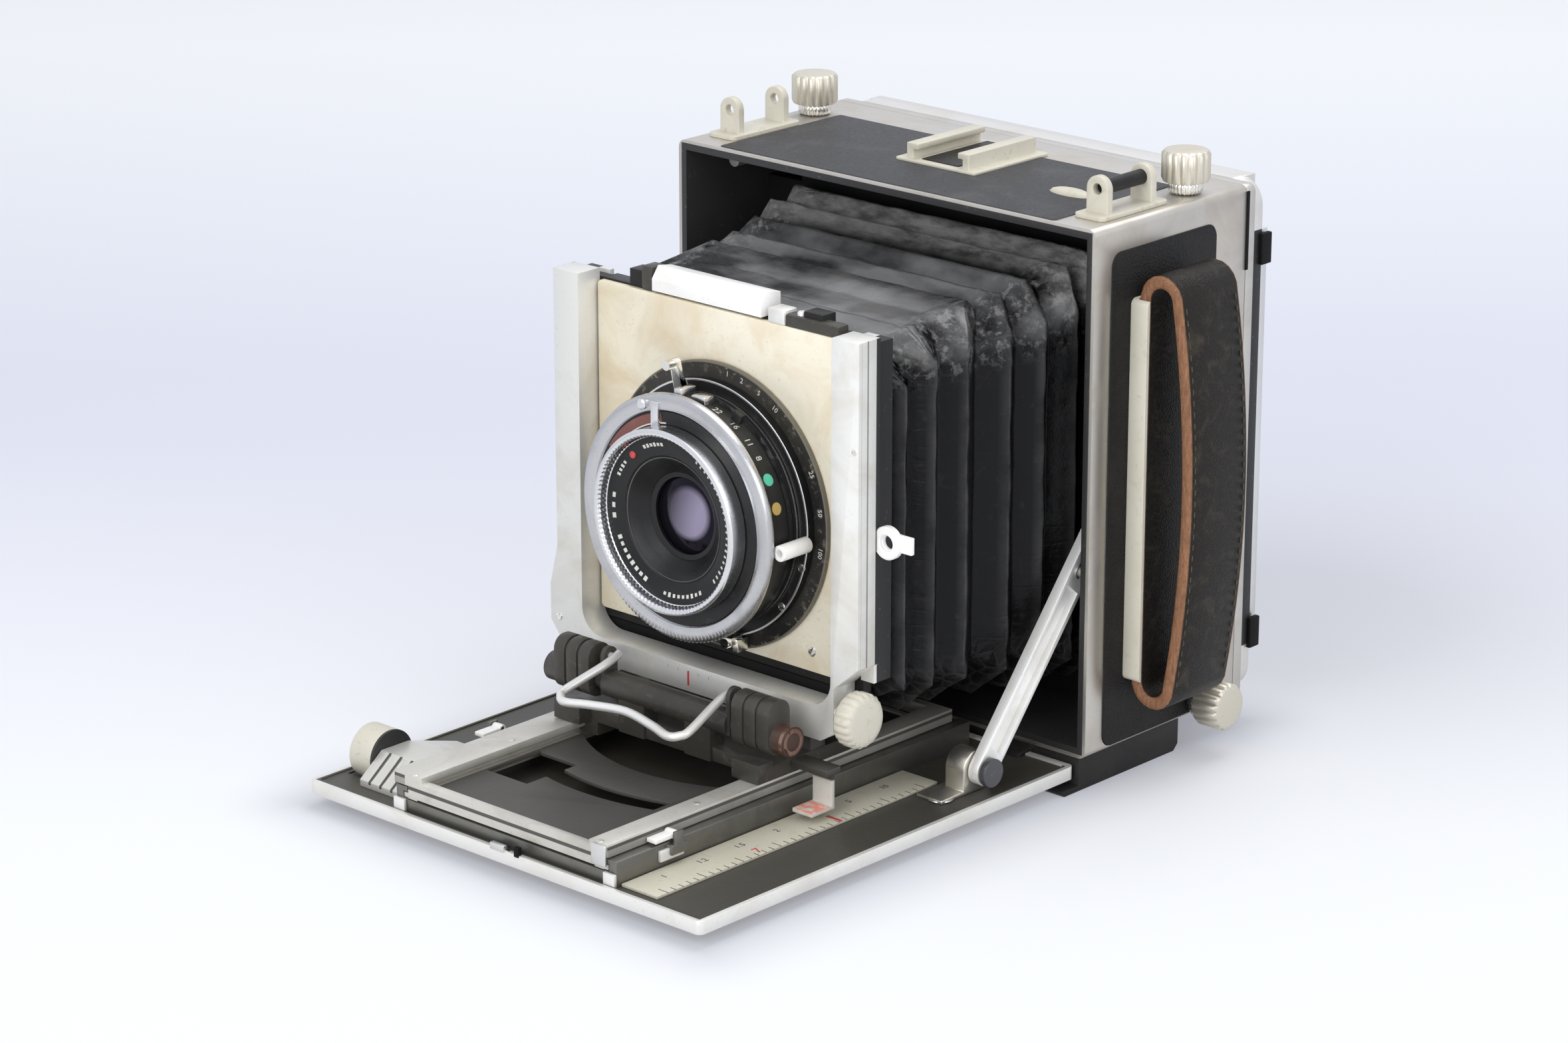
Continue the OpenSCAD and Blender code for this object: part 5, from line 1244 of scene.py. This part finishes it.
# Studio: a pale floor, soft lamps and a camera where the photograph was taken
print("studio")
studioSize = {"near": (0.895, 0.91, 0.94), "far": (0.73, 0.755, 0.86), "high": (0.94, 0.965, 1.0),
              "share": 0.42, "shade": (0.03, 0.14), "reach": 0.27, "half": 0.079, "deep": 0.118,
              "middle": -0.058, "contactShade": 0.03, "step": (-2.95, -2.56), "rise": (-2.5, -1.95)}
floorAt = Vector((-1.5, 2.5, 0))
bpy.ops.mesh.primitive_plane_add(size=40, location=floorAt)
floor = bpy.context.object
floor.name = "studio_floor"
paper = Finish("studioPaper", {"Roughness": 0.9, "Specular IOR Level": 0.05})
along = Vector((-0.6766, 0.7363, 0))
# The floor is darker far off and pale again at the horizon, with painted shade beside the camera and a
# painted contact shadow round its outline
raw = paper.node("TexCoord", {}, {}, "Object")
floorX = paper.node("SeparateXYZ", {}, {0: raw}, 0)
floorY = paper.node("SeparateXYZ", {}, {0: raw}, 1)
sx = floorX + floorAt.x
sy = floorY + floorAt.y
reach = floorX * along.x + floorY * along.y
drift = (paper.cloud(paper.place(), 0.0012, 2, 0.5) - 0.5) * 0.05
step = paper.fit(reach + drift, *studioSize["step"])
rise = paper.fit(reach, *studioSize["rise"])
tone = paper.mix(rise, paper.mix(step, studioSize["near"], studioSize["far"]), studioSize["high"])
shadeX = sx - studioSize["shade"][0]
shadeY = sy - studioSize["shade"][1]
shade = paper.fit(paper.distance(shadeX, shadeY), 0.05, studioSize["reach"], 1.0, 0.0)
tone = paper.mix(shade * shade * 0.3, tone, (0.35, 0.36, 0.39))
sideways = paper.larger(paper.size(sx) - studioSize["half"], 0)
lengthways = paper.larger(paper.size(sy - studioSize["middle"]) - studioSize["deep"], 0)
contactShade = paper.fit(paper.distance(sideways, lengthways), 0.0, studioSize["contactShade"], 1.0, 0.0)
tone = paper.mix(contactShade * contactShade * 0.5, tone, (0.42, 0.43, 0.5))
paper.wear(Base_Color=tone)
glow = paper.node("Emission", {}, {0: tone})
lit = Signal(paper, paper.surface.outputs[0])
blended = paper.node("MixShader", {}, {0: paper.seen() * studioSize["share"], 1: lit, 2: glow})
paper.feed(paper.tree.nodes["Material Output"].inputs[0], blended)
floor.data.materials.append(paper.material)

world = bpy.data.worlds.new("studioWorld")
bpy.context.scene.world = world
world.use_nodes = True
sky = NodeMaker(world.node_tree)
sky.tree.nodes.clear()
pale = sky.node("Background", {}, {0: (0.86, 0.89, 0.97), 1: 1.0})
light = sky.node("Background", {}, {0: (0.93, 0.95, 1.0), 1: 0.56})
output = sky.tree.nodes.new("ShaderNodeOutputWorld")
sky.feed(output.inputs[0], sky.node("MixShader", {}, {0: sky.seen(), 1: light, 2: pale}))

lamps = {
    "key": {"at": (0.1, -1.3, 1.35), "size": 1.1, "power": 7.5},
    "front": {"at": (0.5, -1.6, 0.55), "size": 0.9, "power": 7.5},
    "right": {"at": (1.5, -0.2, 0.9), "size": 1.4, "power": 7},
    "top": {"at": (0.0, 0.55, 1.5), "size": 1.1, "power": 9.5},
}
for name, lamp in lamps.items():
    data = bpy.data.lights.new(name + "Lamp", "AREA")
    data.shape = "DISK"
    data.size = lamp["size"]
    data.energy = lamp["power"]
    holder = bpy.data.objects.new(name + "Lamp", data)
    holder.location = lamp["at"]
    holder.rotation_euler = (Vector((0, 0, 0.08)) - Vector(lamp["at"])).to_track_quat("-Z", "Y").to_euler()
    bpy.context.scene.collection.objects.link(holder)

cameraSize = {"at": (888.93, -1027.08, 507.84), "turn": 42.5788, "down": 18.2609, "focal": 7225.88,
              "wide": 2358, "sensor": 36}
cameraData = bpy.data.cameras.new("photoCamera")
cameraData.sensor_width = cameraSize["sensor"]
cameraData.lens = cameraSize["focal"] / cameraSize["wide"] * cameraSize["sensor"]
cameraData.clip_start = 0.05
cameraData.clip_end = 50
camera = bpy.data.objects.new("photoCamera", cameraData)
camera.location = Vector(cameraSize["at"]) * mm
turn = math.radians(cameraSize["turn"])
down = math.radians(cameraSize["down"])
view = Vector((-math.sin(turn) * math.cos(down), math.cos(turn) * math.cos(down), -math.sin(down)))
camera.rotation_euler = view.to_track_quat("-Z", "Y").to_euler()
bpy.context.scene.collection.objects.link(camera)
bpy.context.scene.camera = camera
bpy.context.scene.view_settings.view_transform = "Standard"
